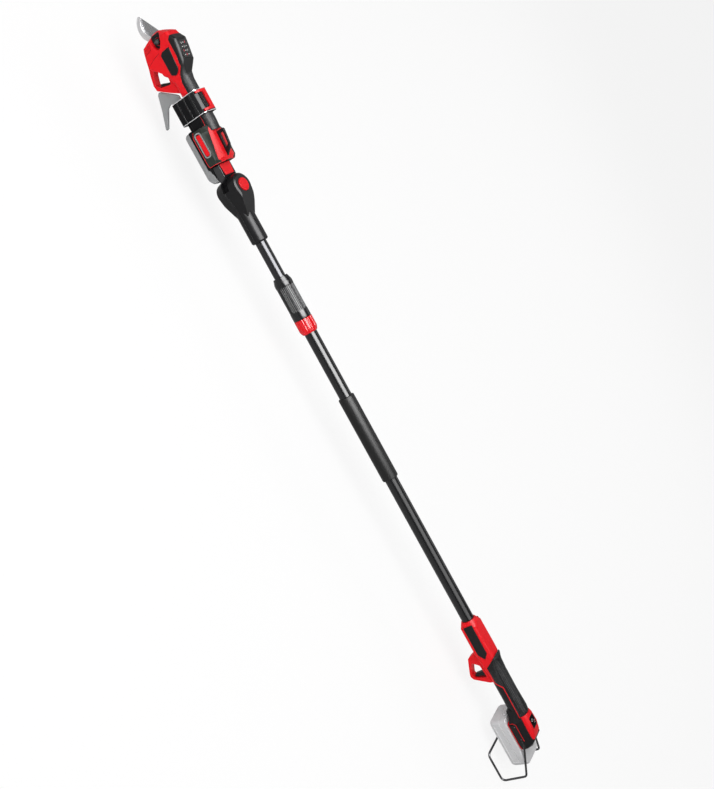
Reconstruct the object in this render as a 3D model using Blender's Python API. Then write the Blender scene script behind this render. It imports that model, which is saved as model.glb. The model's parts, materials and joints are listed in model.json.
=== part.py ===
"""Cordless pole pruner: a battery handle, a telescopic pole, a tilting joint and clamped-on shears.

The drawing frame has +X along the pole towards the blades, +Z the tool's back, away from the
triggers, and the pole's axis at Y = 0, Z = 0, with X = 0 at the front of the rear handle. The last
step shifts everything so that the origin is under the middle of the tool, at the stand's underside.
"""
import math

import bmesh
import bpy
from mathutils import Matrix, Vector

MM = 0.001
GAP = 0.3 * MM  # clearance between pieces that touch
SLIDE_GAP = 0.4 * MM  # clearance round pieces that slide or turn
ROUND_SIDES = 32  # sides of every concentric round piece, so that their facets stay parallel

# Pole
TUBE_R = 15.0 * MM
TUBE_WALL = 1.5 * MM
TUBE_PLAY = 0.5 * MM  # between the inner tube and the outer one's bore
INNER_R = TUBE_R - TUBE_WALL - TUBE_PLAY
INNER_WALL = 1.2 * MM
TUBE_SHOWN = 759.0 * MM  # outer tube between the handle and the red collar
TUBE_IN_HANDLE = 108.0 * MM
TUBE_IN_NUT = 36.0 * MM
FOAM_START = 379.0 * MM
FOAM_LENGTH = 215.0 * MM
FOAM_THICK = 4.2 * MM
FOAM_R = TUBE_R + FOAM_THICK
COLLAR_LENGTH = 35.0 * MM
COLLAR_THICK = 6.3 * MM
COLLAR_R = TUBE_R + COLLAR_THICK
NUT_LENGTH = 103.0 * MM
NUT_THICK = 6.0 * MM
NUT_R = TUBE_R + NUT_THICK
COLLET_PROUD = 1.0 * MM  # collet outside the tube's radius
NUT_RIB_COUNT = 30
INNER_SHOWN = 87.0 * MM  # inner tube between the nut and the yoke at rest
INNER_IN_YOKE = 42.0 * MM
TELESCOPE_OUT = 700.0 * MM
TELESCOPE_OVERLAP = 100.0 * MM

# Rear handle
MOUTH_WALL = 2.5 * MM  # housing round the tube where the tube goes in
HOUSING_HALF_W = TUBE_R + 5.0 * MM
HOUSING_HALF_H = TUBE_R + 7.0 * MM
GRIP_HALF_W = 19.0 * MM
GRIP_LOW = -20.0 * MM
GRIP_HIGH = 24.5 * MM
OVERMOULD = 2.4 * MM  # thickness of the grip's soft skin
GRIP_REAR = -279.0 * MM
HOUSING_REAR = -114.0 * MM
HOUSING_FRONT = -8.0 * MM
CAP_REAR = -362.0 * MM
FOOT_TOP = 11.5 * MM
FOOT_STEP = -280.0 * MM  # the foot is lower from here on, under the grip
SKIN_LINE = 6.5 * MM  # top of the under-grip
FOOT_LOW = -21.0 * MM
FOOT_HALF_W = 34.0 * MM
GUARD_HALF_W = 8.5 * MM
SLOT_HALF_W = 5.9 * MM  # slot in the guard that the trigger swings in
TRIGGER_HALF_W = 5.5 * MM
PIN_R = 2.0 * MM  # pivot stubs moulded on the triggers
STUB_REACH = 8.6 * MM
LEVER_PIN_R = 1.5 * MM
LEVER_REACH = 7.6 * MM
PANEL_DEPTH = 1.2 * MM
DISPLAY_REAR = -322.0 * MM
DISPLAY_FRONT = -291.0 * MM

# Battery pack
PACK_LENGTH = 131.0 * MM
PACK_FRONT = -271.0 * MM
PACK_HALF_W = 36.5 * MM
PACK_LOW = -72.0 * MM
PACK_SPLIT = -43.0 * MM
PACK_END = [(0, 7.0, 6.0), (2.0, 3.4, 2.6), (6.0, 0.8, 0.6), (10.0, 0, 0)]  # along, drawn in, raised
PACK_HIGH = -25.0 * MM
TRIM = 1.3 * MM
RAIL_HALF_W = 20.0 * MM
RAIL_LIP = 5.0 * MM
RAIL_RISE = 9.0 * MM

# Wire stand
WIRE_R = 2.6 * MM
BAIL_HALF_W = 48.0 * MM
BAIL_REAR = -430.0 * MM
BAIL_LOW = -109.0 * MM
BAIL_FRONT = -352.0 * MM
BAIL_TUCK = 1.12 * MM  # what the bends draw in at the rear

# Tilting joint
YOKE_LENGTH = 124.0 * MM  # socket mouth to hinge axis
SOCKET_THICK = 6.5 * MM
YOKE_SOCKET_R = INNER_R + SOCKET_THICK
YOKE_R = 29.0 * MM
YOKE_LOW = -27.0 * MM
YOKE_HIGH = 35.0 * MM
TONGUE_R = 22.0 * MM
TONGUE_LOW = -5.0 * MM
TONGUE_HIGH = 13.5 * MM
NECK_HALF_W = 15.0 * MM
BOLT_R = 5.0 * MM
BUTTON_R = 14.6 * MM
BUTTON_PROUD = 2.5 * MM
BUTTON_FLOOR = 16.0 * MM
SPRING_HIGH = 26.0 * MM

# Adaptor and foot of the shears
ADAPTOR_HALF_W = 37.0 * MM
ADAPTOR_LOW = -20.0 * MM
ADAPTOR_SPLIT = -3.0 * MM
ADAPTOR_HIGH = 4.0 * MM
ADAPTOR_LENGTH = 145.0 * MM  # hinge axis to the adaptor's front
NECK_HIGH = 16.0 * MM
SHEARS_FOOT_REAR = 61.0 * MM  # from the hinge axis
SHEARS_FOOT_LENGTH = 80.0 * MM
SHEARS_FOOT_HALF_W = 40.0 * MM

# Shears, measured from the hinge axis of the tilting joint
SGRIP_HALF_W = 18.0 * MM
SGRIP_LOW = 8.0 * MM
SGRIP_HIGH = 50.0 * MM
GRIP_START = 126.0 * MM
HEAD_HALF_W = 22.0 * MM
PIVOT_X = 336.0 * MM
PIVOT_Z = 25.0 * MM
BLADE_T = 3.4 * MM
BLADE_REACH = 66.3 * MM
PIVOT_R = 4.0 * MM
MODULE = 1.5 * MM
SECTOR_TEETH = 32
PINION_TEETH = 10
GEAR_ROOM = 2.0 * MM  # housing's clearance round the sector's teeth
PINION_ROOM = 0.8 * MM
PINION_AT = 175.0  # direction of the pinion seen from the pivot, degrees from +X towards +Z

# Cradle
SADDLE_WALL = 3.6 * MM
SADDLE_X0 = 142.6 * MM
SADDLE_X1 = 212.0 * MM
BAND_X0 = 163.0 * MM
BAND_X1 = 213.0 * MM
BAND_SPLIT = 33.0 * MM
BAND_HALF_W = SGRIP_HALF_W + GAP + SADDLE_WALL + 2 * MM
BAND_HIGH = 55.0 * MM
RING_LOW = -21.0 * MM
RING_ROUND = 15.0 * MM
HOOK_T = 5.0 * MM
LOOP_HALF_T = 2.5 * MM

# Places that follow from the sizes above
COLLAR_X = TUBE_SHOWN
NUT_X = COLLAR_X + COLLAR_LENGTH
NUT_END = NUT_X + NUT_LENGTH
YOKE_X = NUT_END + INNER_SHOWN
HINGE_X = YOKE_X + YOKE_LENGTH
TUBE_END = NUT_X + TUBE_IN_NUT
INNER_END = YOKE_X + INNER_IN_YOKE
INNER_REAR = TUBE_END - TELESCOPE_OVERLAP - TELESCOPE_OUT
PIVOT = Vector((HINGE_X + PIVOT_X, 0, PIVOT_Z))
STAND_LOW = BAIL_LOW - WIRE_R
TIP_X = PIVOT.x + BLADE_REACH
REAR_X = BAIL_REAR - WIRE_R + BAIL_TUCK
SHIFT = Vector((-(TIP_X + REAR_X) / 2, 0, -STAND_LOW))

COLOURS = {
    "red": ((0.78, 0.02, 0.03), 0.35, 0.0),
    "black": ((0.02, 0.02, 0.022), 0.45, 0.0),
    "soft_black": ((0.025, 0.025, 0.027), 0.75, 0.0),
    "tube": ((0.015, 0.015, 0.017), 0.25, 0.6),
    "foam": ((0.02, 0.02, 0.02), 0.95, 0.0),
    "grey": ((0.42, 0.43, 0.44), 0.5, 0.0),
    "flank": ((0.10, 0.11, 0.105), 0.5, 0.0),
    "pale": ((0.66, 0.67, 0.68), 0.45, 0.0),
    "steel": ((0.55, 0.56, 0.57), 0.3, 1.0),
    "wire": ((0.05, 0.05, 0.055), 0.35, 0.8),
    "copper": ((0.6, 0.3, 0.15), 0.35, 1.0),
}


def material(key):
    """One Principled material for each colour, made when it is first asked for."""
    if key in bpy.data.materials:
        return bpy.data.materials[key]
    colour, roughness, metallic = COLOURS[key]
    mat = bpy.data.materials.new(key)
    mat.use_nodes = True
    shader = mat.node_tree.nodes["Principled BSDF"]
    shader.inputs["Base Color"].default_value = (*colour, 1)
    shader.inputs["Roughness"].default_value = roughness
    shader.inputs["Metallic"].default_value = metallic
    mat.diffuse_color = (*colour, 1)
    return mat


def finish(bm, name, key=None, smooth=35):
    """Turn a bmesh into an object with its faces pointing out and its round faces smooth."""
    bmesh.ops.remove_doubles(bm, verts=bm.verts, dist=1e-6)
    bmesh.ops.recalc_face_normals(bm, faces=bm.faces)
    mesh = bpy.data.meshes.new(name)
    bm.to_mesh(mesh)
    bm.free()
    obj = bpy.data.objects.new(name, mesh)
    bpy.context.collection.objects.link(obj)
    if key:
        mesh.materials.append(material(key))
    mesh.shade_smooth()
    mesh.set_sharp_from_angle(angle=math.radians(smooth))
    return obj


def skin(rings, name, key=None, smooth=35):
    """Join rings of points, all with the same count, into a closed body with flat ends."""
    bm = bmesh.new()
    loops = [[bm.verts.new(p) for p in ring] for ring in rings]
    count = len(rings[0])
    for low, high in zip(loops, loops[1:]):
        for i in range(count):
            j = (i + 1) % count
            bm.faces.new((low[i], low[j], high[j], high[i]))
    bm.faces.new(loops[0][::-1])
    bm.faces.new(loops[-1])
    return finish(bm, name, key, smooth)


def arc(cx, cy, radius, start, end, steps):
    """Points on an arc, angles in degrees."""
    angles = [math.radians(start + (end - start) * i / steps) for i in range(steps + 1)]
    return [(cx + radius * math.cos(a), cy + radius * math.sin(a)) for a in angles]


def rounded(points, radius, steps=3):
    """A polygon with each corner turned into an arc; radius may be one value or one a corner."""
    out = []
    count = len(points)
    for i, here in enumerate(points):
        r = radius[i] if isinstance(radius, (list, tuple)) else radius
        p = Vector(here)
        a = (Vector(points[i - 1]) - p)
        b = (Vector(points[(i + 1) % count]) - p)
        half = a.angle(b) / 2
        reach = min(r / math.tan(half), 0.48 * a.length, 0.48 * b.length)
        if r <= 0 or reach <= 1e-6:
            out.append(tuple(p))
            continue
        start = p + a.normalized() * reach
        end = p + b.normalized() * reach
        for k in range(steps + 1):
            t = k / steps
            q = start * (1 - t) ** 2 + p * 2 * t * (1 - t) + end * t ** 2
            out.append(tuple(q))
    return out


def section(x, half_w, low, high, radius, steps=4):
    """A rounded rectangle standing across the pole at x."""
    r = min(radius, half_w * 0.98, (high - low) * 0.49)
    pts = []
    for cy, cz, start in (
        (half_w - r, high - r, 0),
        (-half_w + r, high - r, 90),
        (-half_w + r, low + r, 180),
        (half_w - r, low + r, 270),
    ):
        pts += [(x, y, z) for y, z in arc(cy, cz, r, start, start + 90, steps)]
    return pts


def loft(name, table, key=None, grow=0.0, steps=4):
    """A body through rounded rectangles given as (x, half width, low, high, corner radius)."""
    rings = [section(x, w + grow, lo - grow, hi + grow, r + grow, steps) for x, w, lo, hi, r in table]
    return skin(rings, name, key)


def prism(name, outline, low, high, axis="Y", key=None):
    """An outline pushed along an axis. The outline is (x, z) for Y, (x, y) for Z and (y, z) for X."""
    place = {
        "Y": lambda a, b, c: (a, c, b),
        "Z": lambda a, b, c: (a, b, c),
        "X": lambda a, b, c: (c, a, b),
    }[axis]
    rings = [[place(a, b, c) for a, b in outline] for c in (low, high)]
    return skin(rings, name, key)


def box(name, x0, x1, y0, y1, z0, z1, key=None, grow=0.0, bevel=0.0):
    """A block, with its edges along X rounded when bevel is given."""
    y0, y1, z0, z1 = y0 - grow, y1 + grow, z0 - grow, z1 + grow
    outline = [(y0, z0), (y1, z0), (y1, z1), (y0, z1)]
    if bevel:
        outline = rounded(outline, bevel)
    return prism(name, outline, x0 - grow, x1 + grow, "X", key)


def turned(name, profile, key=None, axis="X", centre=(0, 0, 0), sides=ROUND_SIDES, smooth=35):
    """A turned piece: (distance along the axis, radius) points carried round the axis.

    A profile that ends at radius 0 closes on the axis; any other is a closed loop, as for a tube.
    """
    bm = bmesh.new()
    frames = {
        "X": lambda u, c, s: (u, c, s),
        "Y": lambda u, c, s: (c, u, s),
        "Z": lambda u, c, s: (c, s, u),
    }[axis]
    solid = profile[0][1] == 0
    columns = []
    for i in range(sides):
        a = 2 * math.pi * (i + 0.5) / sides
        columns.append([
            bm.verts.new(Vector(frames(u, r * math.cos(a), r * math.sin(a))) + Vector(centre))
            for u, r in profile
        ])
    last = len(profile) - 1 if solid else len(profile)
    for i in range(sides):
        here, there = columns[i], columns[(i + 1) % sides]
        for k in range(last):
            m = (k + 1) % len(profile)
            corners = [here[k], here[m], there[m], there[k]]
            if profile[k][1] == 0:
                corners = [here[k], here[m], there[m]]
            elif profile[m][1] == 0:
                corners = [here[k], here[m], there[k]]
            bm.faces.new(corners)
    return finish(bm, name, key, smooth)


def rod(name, axis, centre, low, high, radius, key=None, sides=ROUND_SIDES, chamfer=0.0):
    """A plain round bar along an axis, with chamfered ends when asked for."""
    profile = [(low, 0), (low, radius - chamfer), (low + chamfer, radius)]
    profile += [(high - chamfer, radius), (high, radius - chamfer), (high, 0)]
    if not chamfer:
        profile = [(low, 0), (low, radius), (high, radius), (high, 0)]
    return turned(name, profile, key, axis, centre, sides)


def sweep(name, path, radius, key=None, sides=10):
    """A round wire along a path of points, with frames carried along without twist."""
    points = [Vector(p) for p in path]
    tangents = []
    for i in range(len(points)):
        a = points[max(i - 1, 0)]
        b = points[min(i + 1, len(points) - 1)]
        tangents.append((b - a).normalized())
    normal = tangents[0].orthogonal().normalized()
    rings = []
    for p, t in zip(points, tangents):
        normal = (normal - t * normal.dot(t)).normalized()
        side = t.cross(normal)
        ring = []
        for k in range(sides):
            a = 2 * math.pi * k / sides
            ring.append(p + (normal * math.cos(a) + side * math.sin(a)) * radius)
        rings.append(ring)
    return skin(rings, name, key, smooth=60)


def bent(points, radius, steps=5):
    """A path in space with its corners turned into smooth bends."""
    pts = [Vector(p) for p in points]
    out = [pts[0]]
    for a, p, b in zip(pts, pts[1:], pts[2:]):
        back = (a - p)
        on = (b - p)
        reach = min(radius, 0.45 * back.length, 0.45 * on.length)
        start = p + back.normalized() * reach
        end = p + on.normalized() * reach
        for k in range(steps + 1):
            t = k / steps
            out.append(start * (1 - t) ** 2 + p * 2 * t * (1 - t) + end * t ** 2)
    out.append(pts[-1])
    return out


def closed(mesh):
    """True when every edge of a mesh joins exactly two faces."""
    bm = bmesh.new()
    bm.from_mesh(mesh)
    answer = all(len(edge.link_faces) == 2 for edge in bm.edges)
    bm.free()
    return answer


def combine(obj, others, operation="DIFFERENCE"):
    """Cut, join or intersect with other bodies, which are used up.

    The exact solver is tried first, and the manifold one takes over where its result isn't closed.
    """
    for other in others if isinstance(others, (list, tuple)) else [others]:
        step = obj.modifiers.new("step", "BOOLEAN")
        step.operation = operation
        step.object = other
        for solver in ("EXACT", "MANIFOLD"):
            step.solver = solver
            graph = bpy.context.evaluated_depsgraph_get()
            mesh = bpy.data.meshes.new_from_object(obj.evaluated_get(graph))
            if closed(mesh):
                break
        obj.modifiers.clear()
        old = obj.data
        obj.data = mesh
        bpy.data.meshes.remove(old)
        used = other.data
        bpy.data.objects.remove(other)
        bpy.data.meshes.remove(used)
    return obj


def cut(obj, *others):
    return combine(obj, list(others), "DIFFERENCE")


def join(obj, *others):
    return combine(obj, list(others), "UNION")


def keep_inside(obj, other):
    return combine(obj, other, "INTERSECT")


def copy_of(obj, name):
    twin = bpy.data.objects.new(name, obj.data.copy())
    bpy.context.collection.objects.link(twin)
    return twin


def tidy(obj, name, key, smooth=35):
    """Name a finished body, give it its material and merge what the cuts left in its flats.

    Merging is tried from coarse to none, and the first result whose edges all close is kept.
    """
    for merge, flat in ((2e-6, 0.3), (2e-6, 0), (1e-7, 0.1), (0, 0)):
        bm = bmesh.new()
        bm.from_mesh(obj.data)
        if merge:
            bmesh.ops.remove_doubles(bm, verts=bm.verts, dist=merge)
            bmesh.ops.dissolve_degenerate(bm, dist=merge, edges=bm.edges)
        if flat:
            bmesh.ops.dissolve_limit(bm, angle_limit=math.radians(flat), verts=bm.verts, edges=bm.edges)
        bmesh.ops.triangulate(bm, faces=bm.faces)
        closed = all(len(edge.link_faces) == 2 for edge in bm.edges)
        if closed:
            bm.to_mesh(obj.data)
        bm.free()
        if closed:
            break
    obj.name = name
    obj.data.name = name
    obj.data.materials.clear()
    obj.data.materials.append(material(key))
    obj.data.shade_smooth()
    obj.data.set_sharp_from_angle(angle=math.radians(smooth))
    return obj


def halves(obj, left, right, key):
    """Split a moulding at Y = 0 into its two halves, half a clearance each side of the joint."""
    for name, low, high in ((left, -1, GAP / 2), (right, -GAP / 2, 1)):
        half = copy_of(obj, name)
        cut(half, box("away", -2, 2, low, high, -1, 1))
        tidy(half, name, key)
    used = obj.data
    bpy.data.objects.remove(obj)
    bpy.data.meshes.remove(used)


def on_axis(obj, point):
    """Put a moving piece's origin on its joint's axis."""
    obj.data.transform(Matrix.Translation(-Vector(point)))
    obj.location = Vector(point)
    return obj


# Rear handle

REAR_TRIGGER_PIVOT = Vector((-157.0 * MM, 0, -16.0 * MM))
REAR_TRIGGER_OUTLINE = [
    (-163, -11), (-151, -11), (-148, -24), (-150, -38), (-154, -58), (-160, -58), (-160.5, -42), (-162, -26)]
GUARD_OUTLINE = [
    (-186, -12), (-173, -47), (-165, -67), (-157, -71), (-150, -69.5), (-130, -61.5), (-108, -52), (-94, -26),
    (-93, -10), (-180, -10)]
GUARD_RADII = [2e-3, 6e-3, 4e-3, 4e-3, 4e-3, 5e-3, 5e-3, 5e-3, 0, 0]
WINDOW_OUTLINE = [(-166, -27), (-131, -30.5), (-121, -48), (-138, -57.5), (-153, -64), (-161, -60)]


def scaled(points):
    """Outline points written in millimetres, in metres."""
    return [(a * MM, b * MM) for a, b in points]


def handle_table():
    """Sections of the rear handle's outer form from the cap to the tube's mouth."""
    w, h = HOUSING_HALF_W, HOUSING_HALF_H
    gw, lo, hi = GRIP_HALF_W, GRIP_LOW, GRIP_HIGH
    rear, mouth = CAP_REAR, TUBE_R + MOUTH_WALL
    return [
        (rear, 13 * MM, -9 * MM, -3 * MM, 3 * MM),
        (rear + 9 * MM, 18 * MM, -10 * MM, 8 * MM, 7 * MM),
        (rear + 23 * MM, 21 * MM, -10 * MM, 18 * MM, 8 * MM),
        (rear + 46 * MM, 21.5 * MM, -12 * MM, hi - 1 * MM, 9 * MM),
        (GRIP_REAR - 9 * MM, 20.5 * MM, -16 * MM, hi, 12 * MM),
        (GRIP_REAR, gw + 0.5 * MM, lo, hi, 17 * MM),
        (GRIP_REAR + 14 * MM, gw, lo, hi + 1 * MM, 18 * MM),
        (GRIP_REAR + 60 * MM, gw - 0.5 * MM, lo, hi, 18 * MM),
        (GRIP_REAR + 120 * MM, gw, lo, hi, 18 * MM),
        (GRIP_REAR + 148 * MM, w, lo - 1 * MM, h + 2 * MM, 12 * MM),
        (HOUSING_REAR + 22 * MM, w, -h, h + 1 * MM, 8 * MM),
        (-22 * MM, w, -h, h, 8 * MM),
        (HOUSING_FRONT, mouth, -mouth, mouth, mouth),
    ]


def grip_core(grow=0.0):
    """The hard core that the grip's soft skins wrap."""
    table = [(x, w - OVERMOULD, lo + OVERMOULD, hi - OVERMOULD, max(r - OVERMOULD, 2 * MM))
             for x, w, lo, hi, r in handle_table()[4:11]]
    return loft("core", table, grow=grow)


def upper_skin_zone(grow=0.0):
    """Side view of the upper skin's edge: a level line, a dip to the guard and a raked front."""
    g = grow / MM
    pts = [(-279 - g, 8.2 - g), (-191 - g, 8.2 - g), (-178 - g, -7 - g), (-134.5 + g, -7 - g),
           (-107.5 + g, 28), (-107.5 + g, 46), (-279 - g, 46)]
    return prism("zone", scaled(pts), -60 * MM, 60 * MM)


def lower_skin_zone(grow=0.0):
    """Side view of the under-grip's edge."""
    g = grow / MM
    pts = [(-256.3 - g, 6.2 + g), (-193.5 + g, 6.2 + g), (-180.5 + g, -9), (-180.5 + g, -30),
           (-256.3 - g, -30)]
    return prism("zone", scaled(pts), -60 * MM, 60 * MM)


def skin_table():
    """Outer form of the soft skins, with the thumb flare at the front."""
    w, h = HOUSING_HALF_W, HOUSING_HALF_H
    gw, lo, hi = GRIP_HALF_W, GRIP_LOW, GRIP_HIGH
    return [
        (GRIP_REAR - 0.1 * MM, gw + 0.3 * MM, lo, hi - 1.5 * MM, 17 * MM),
        (GRIP_REAR + 4 * MM, gw + 0.4 * MM, lo, hi, 18 * MM),
        (GRIP_REAR + 14 * MM, gw, lo, hi + 1.5 * MM, 18 * MM),
        (GRIP_REAR + 60 * MM, gw - 0.5 * MM, lo, hi, 18 * MM),
        (GRIP_REAR + 120 * MM, gw, lo, hi, 18 * MM),
        (GRIP_REAR + 148 * MM, w - 0.3 * MM, lo - 1 * MM, hi, 15 * MM),
        (GRIP_REAR + 158 * MM, w + 0.4 * MM, -h, hi + 1.2 * MM, 13 * MM),
        (GRIP_REAR + 164 * MM, w + 1.4 * MM, -h - 1 * MM, h + 5 * MM, 12 * MM),
        (GRIP_REAR + 169 * MM, w + 1.2 * MM, -h - 1 * MM, h + 4.2 * MM, 12 * MM),
        (GRIP_REAR + 184 * MM, w + 0.6 * MM, -h, h + 1 * MM, 9 * MM),
    ]


def handle_housing():
    """Red clamshell of the rear handle, with its guard, pockets for what it holds and the tube's bore."""
    form = loft("form", handle_table())
    guard = prism("guard", rounded(scaled(GUARD_OUTLINE), GUARD_RADII), -GUARD_HALF_W, GUARD_HALF_W)
    join(form, guard)
    window = prism("window", rounded(scaled(WINDOW_OUTLINE), 3 * MM), -30 * MM, 30 * MM)
    cut(form, window)
    slot = [(-173, -9.5), (-147, -9.5), (-147, -30), (-155, -60), (-165.6, -60), (-168.5, -28)]
    cut(form, prism("slot", scaled(slot), -SLOT_HALF_W, SLOT_HALF_W))
    cut(form, box("foot_zone", CAP_REAR - 5 * MM, FOOT_STEP, -40 * MM, 40 * MM, -40 * MM, FOOT_TOP))
    cut(form, box("foot_zone", FOOT_STEP - 1 * MM, -256 * MM, -40 * MM, 40 * MM, -40 * MM, SKIN_LINE))
    upper = upper_skin_zone()
    cut(upper, grip_core())
    lower = lower_skin_zone()
    cut(lower, grip_core())
    cut(form, upper, lower)
    bore = rod("bore", "X", (0, 0, 0), -TUBE_IN_HANDLE - GAP, 5 * MM, TUBE_R + GAP)
    cut(form, bore)
    cut(form, box("switch", -150 * MM, -124 * MM, -8 * MM, 8 * MM, -9 * MM, 13 * MM, grow=GAP))
    cut(form, stubs(REAR_TRIGGER_PIVOT, STUB_REACH, PIN_R, GAP))
    for sign in (1, -1):
        cut(form, side_panel("recess", REAR_PANEL, sign, HOUSING_HALF_W, GAP))
    cut(form, rear_display("recess", GAP))
    halves(form, "handle_shell_left", "handle_shell_right", "red")


REAR_PANEL = [(-110, 2), (-94, 15), (-16, 15), (-20, -11), (-96, -11)]
SHEARS_PANEL = [(257, 33), (262, 43), (268, 46.5), (312, 50.5), (311, 29), (306, 22), (262, 22)]


def side_panel(name, outline, sign, half_w, grow=0.0, key=None, shift=0.0):
    """Bare black plate let into the side of a housing."""
    pts = [(x + shift / MM, z) for x, z in outline]
    centre = Vector((sum(p[0] for p in pts), sum(p[1] for p in pts))) / len(pts)
    if grow:
        pts = [tuple(Vector(p) + (Vector(p) - centre).normalized() * grow * 1.6 / MM) for p in pts]
    edge = half_w + 0.4 * MM
    inner = half_w - PANEL_DEPTH - grow
    low, high = sorted((sign * inner, sign * (edge + (5 * MM if grow else 0))))
    return prism(name, rounded(scaled(pts), 2 * MM), low, high, key=key)


def rear_display(name, grow=0.0, key=None):
    """Control panel on the rear cap's top."""
    x0, x1, w = DISPLAY_REAR - grow, DISPLAY_FRONT + grow, 11 * MM + grow
    outline = rounded([(x0, -w), (x1, -w), (x1, w), (x0, w)], 3 * MM)
    plate = prism(name, outline, 20.5 * MM - grow, 40 * MM, "Z", key)
    if grow:
        return plate
    return keep_inside(plate, loft("form", handle_table(), grow=0.2 * MM))


def handle_skins():
    """Textured upper skin and smooth under-grip."""
    upper = loft("upper", skin_table())
    keep_inside(upper, upper_skin_zone(-GAP))
    cut(upper, grip_core(GAP))
    tidy(upper, "grip_skin", "soft_black")
    lower = loft("lower", skin_table())
    keep_inside(lower, lower_skin_zone(-GAP))
    cut(lower, grip_core(GAP))
    tidy(lower, "under_grip", "black")


def foot_ring(x, half_w, top_w, low, high):
    """Section of the battery foot: upright below, drawn in to the cap above."""
    waist = low + 0.48 * (high - low)
    pts = [(half_w, low), (half_w, waist), (top_w, high), (-top_w, high), (-half_w, waist), (-half_w, low)]
    return [(x, y, z) for y, z in rounded(pts, [1e-3, 4e-3, 1e-3, 1e-3, 4e-3, 1e-3])]


def battery_foot():
    """Black foot under the rear cap, with the channel for the pack's rail and a recess for the stand."""
    top = FOOT_TOP - GAP
    w, lo = FOOT_HALF_W, FOOT_LOW
    rings = [
        foot_ring(CAP_REAR - 0.5 * MM, w - 9 * MM, 15 * MM, lo + 6 * MM, top - 14 * MM),
        foot_ring(CAP_REAR + 3 * MM, w - 3 * MM, 20 * MM, lo, top - 8 * MM),
        foot_ring(CAP_REAR + 12 * MM, w, 22.5 * MM, lo, top),
        foot_ring(CAP_REAR + 76 * MM, w, 22.5 * MM, lo, top),
        foot_ring(CAP_REAR + 90 * MM, w - 8 * MM, 19.5 * MM, lo + 6 * MM, top),
        foot_ring(-256.3 * MM, 19.4 * MM, 17 * MM, -19 * MM, top),
    ]
    foot = skin(rings, "foot", "black")
    cut(foot, box("step", FOOT_STEP - GAP, -250 * MM, -40 * MM, 40 * MM, SKIN_LINE - GAP, 40 * MM))
    cut(foot, rail("channel", SLIDE_GAP, -30 * MM))
    cut(foot, terminal_block("pocket", GAP))
    for sign in (1, -1):
        low, high = sorted((sign * (w - 6 * MM), sign * (w + 5 * MM)))
        recess = box("recess", -336 * MM, -285 * MM, low, high, -17 * MM, -4.5 * MM)
        cut(foot, recess)
    cut(foot, sweep("groove", stand_path(), WIRE_R + GAP))
    tidy(foot, "battery_foot", "black")
    base = skin([foot_ring(x, hw + 0.4 * MM, hw + 0.4 * MM, lo - TRIM - GAP, lo - GAP) for x, hw in (
        (CAP_REAR + 3 * MM, w - 3 * MM), (CAP_REAR + 12 * MM, w), (CAP_REAR + 76 * MM, w),
        (CAP_REAR + 80 * MM, w - 3 * MM))], "trim")
    cut(base, rail("channel", SLIDE_GAP, -30 * MM))
    tidy(base, "foot_trim", "red")


def rail(name, grow=0.0, extra=0.0, key=None):
    """T-shaped rail on the pack's top, or with grow the channel that takes it."""
    w, lip, g = RAIL_HALF_W, RAIL_LIP, grow
    low = PACK_HIGH - 4 * MM if not grow else FOOT_LOW - 6 * MM
    mid = FOOT_LOW + 3 * MM
    top = FOOT_LOW + RAIL_RISE
    pts = [(-w + lip - g, low), (w - lip + g, low), (w - lip + g, mid - g), (w + g, mid - g),
           (w + g, top + g), (-w - g, top + g), (-w - g, mid - g), (-w + lip - g, mid - g)]
    rear = CAP_REAR + 10 * MM if not grow else CAP_REAR + extra
    front = PACK_FRONT - 12 * MM + grow
    return prism(name, pts, rear, front, "X", key)


def terminal_block(name, grow=0.0, key=None):
    """Contact block above the rail channel's front end."""
    return box(name, -306 * MM, -284 * MM, -14 * MM, 14 * MM, FOOT_LOW + RAIL_RISE + SLIDE_GAP + 0.1 * MM, 0,
               key, grow)


STAND_Y = FOOT_HALF_W - 2.6 * MM
STAND_Z = -10.8 * MM


def stand_path():
    """Path of the stand's wire from one clamp round to the other."""
    side = [(-292 * MM, STAND_Y, STAND_Z), (-346 * MM, STAND_Y, STAND_Z),
            (BAIL_REAR + 7 * MM, BAIL_HALF_W, -37 * MM), (BAIL_REAR, BAIL_HALF_W, BAIL_LOW),
            (BAIL_FRONT, BAIL_HALF_W, BAIL_LOW)]
    return bent(side + [(x, -a, b) for x, a, b in side[::-1]], 11 * MM, 4)


def stand():
    """Wire stand and the block that clamps each of its ends in the foot's recess."""
    wire = sweep("bail", stand_path(), WIRE_R, "wire")
    tidy(wire, "stand_bail", "wire", 60)
    for name, sign in (("bail_clamp_left", 1), ("bail_clamp_right", -1)):
        low, high = sorted((sign * (FOOT_HALF_W - 5.7 * MM), sign * (FOOT_HALF_W + 1.2 * MM)))
        block = box(name, -335 * MM, -287 * MM, low, high, -16.6 * MM, -4.9 * MM, bevel=1 * MM)
        hole = rod("hole", "X", (0, sign * STAND_Y, STAND_Z), -350 * MM, -291 * MM, WIRE_R + GAP, sides=16)
        cut(block, hole)
        tidy(block, name, "black")


def rear_trigger():
    """Trigger of the rear handle with its moulded pivot stubs."""
    body = prism("trigger", rounded(scaled(REAR_TRIGGER_OUTLINE), 2.5 * MM), -TRIGGER_HALF_W, TRIGGER_HALF_W)
    join(body, stubs(REAR_TRIGGER_PIVOT, STUB_REACH, PIN_R))
    on_axis(tidy(body, "rear_trigger", "black"), REAR_TRIGGER_PIVOT)


def stubs(centre, reach, radius, grow=0.0):
    """Pivot stubs of a trigger, or with grow the holes in the housing that they turn in."""
    return rod("stubs", "Y", centre, -reach - grow, reach + grow, radius + grow, sides=16)


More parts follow.
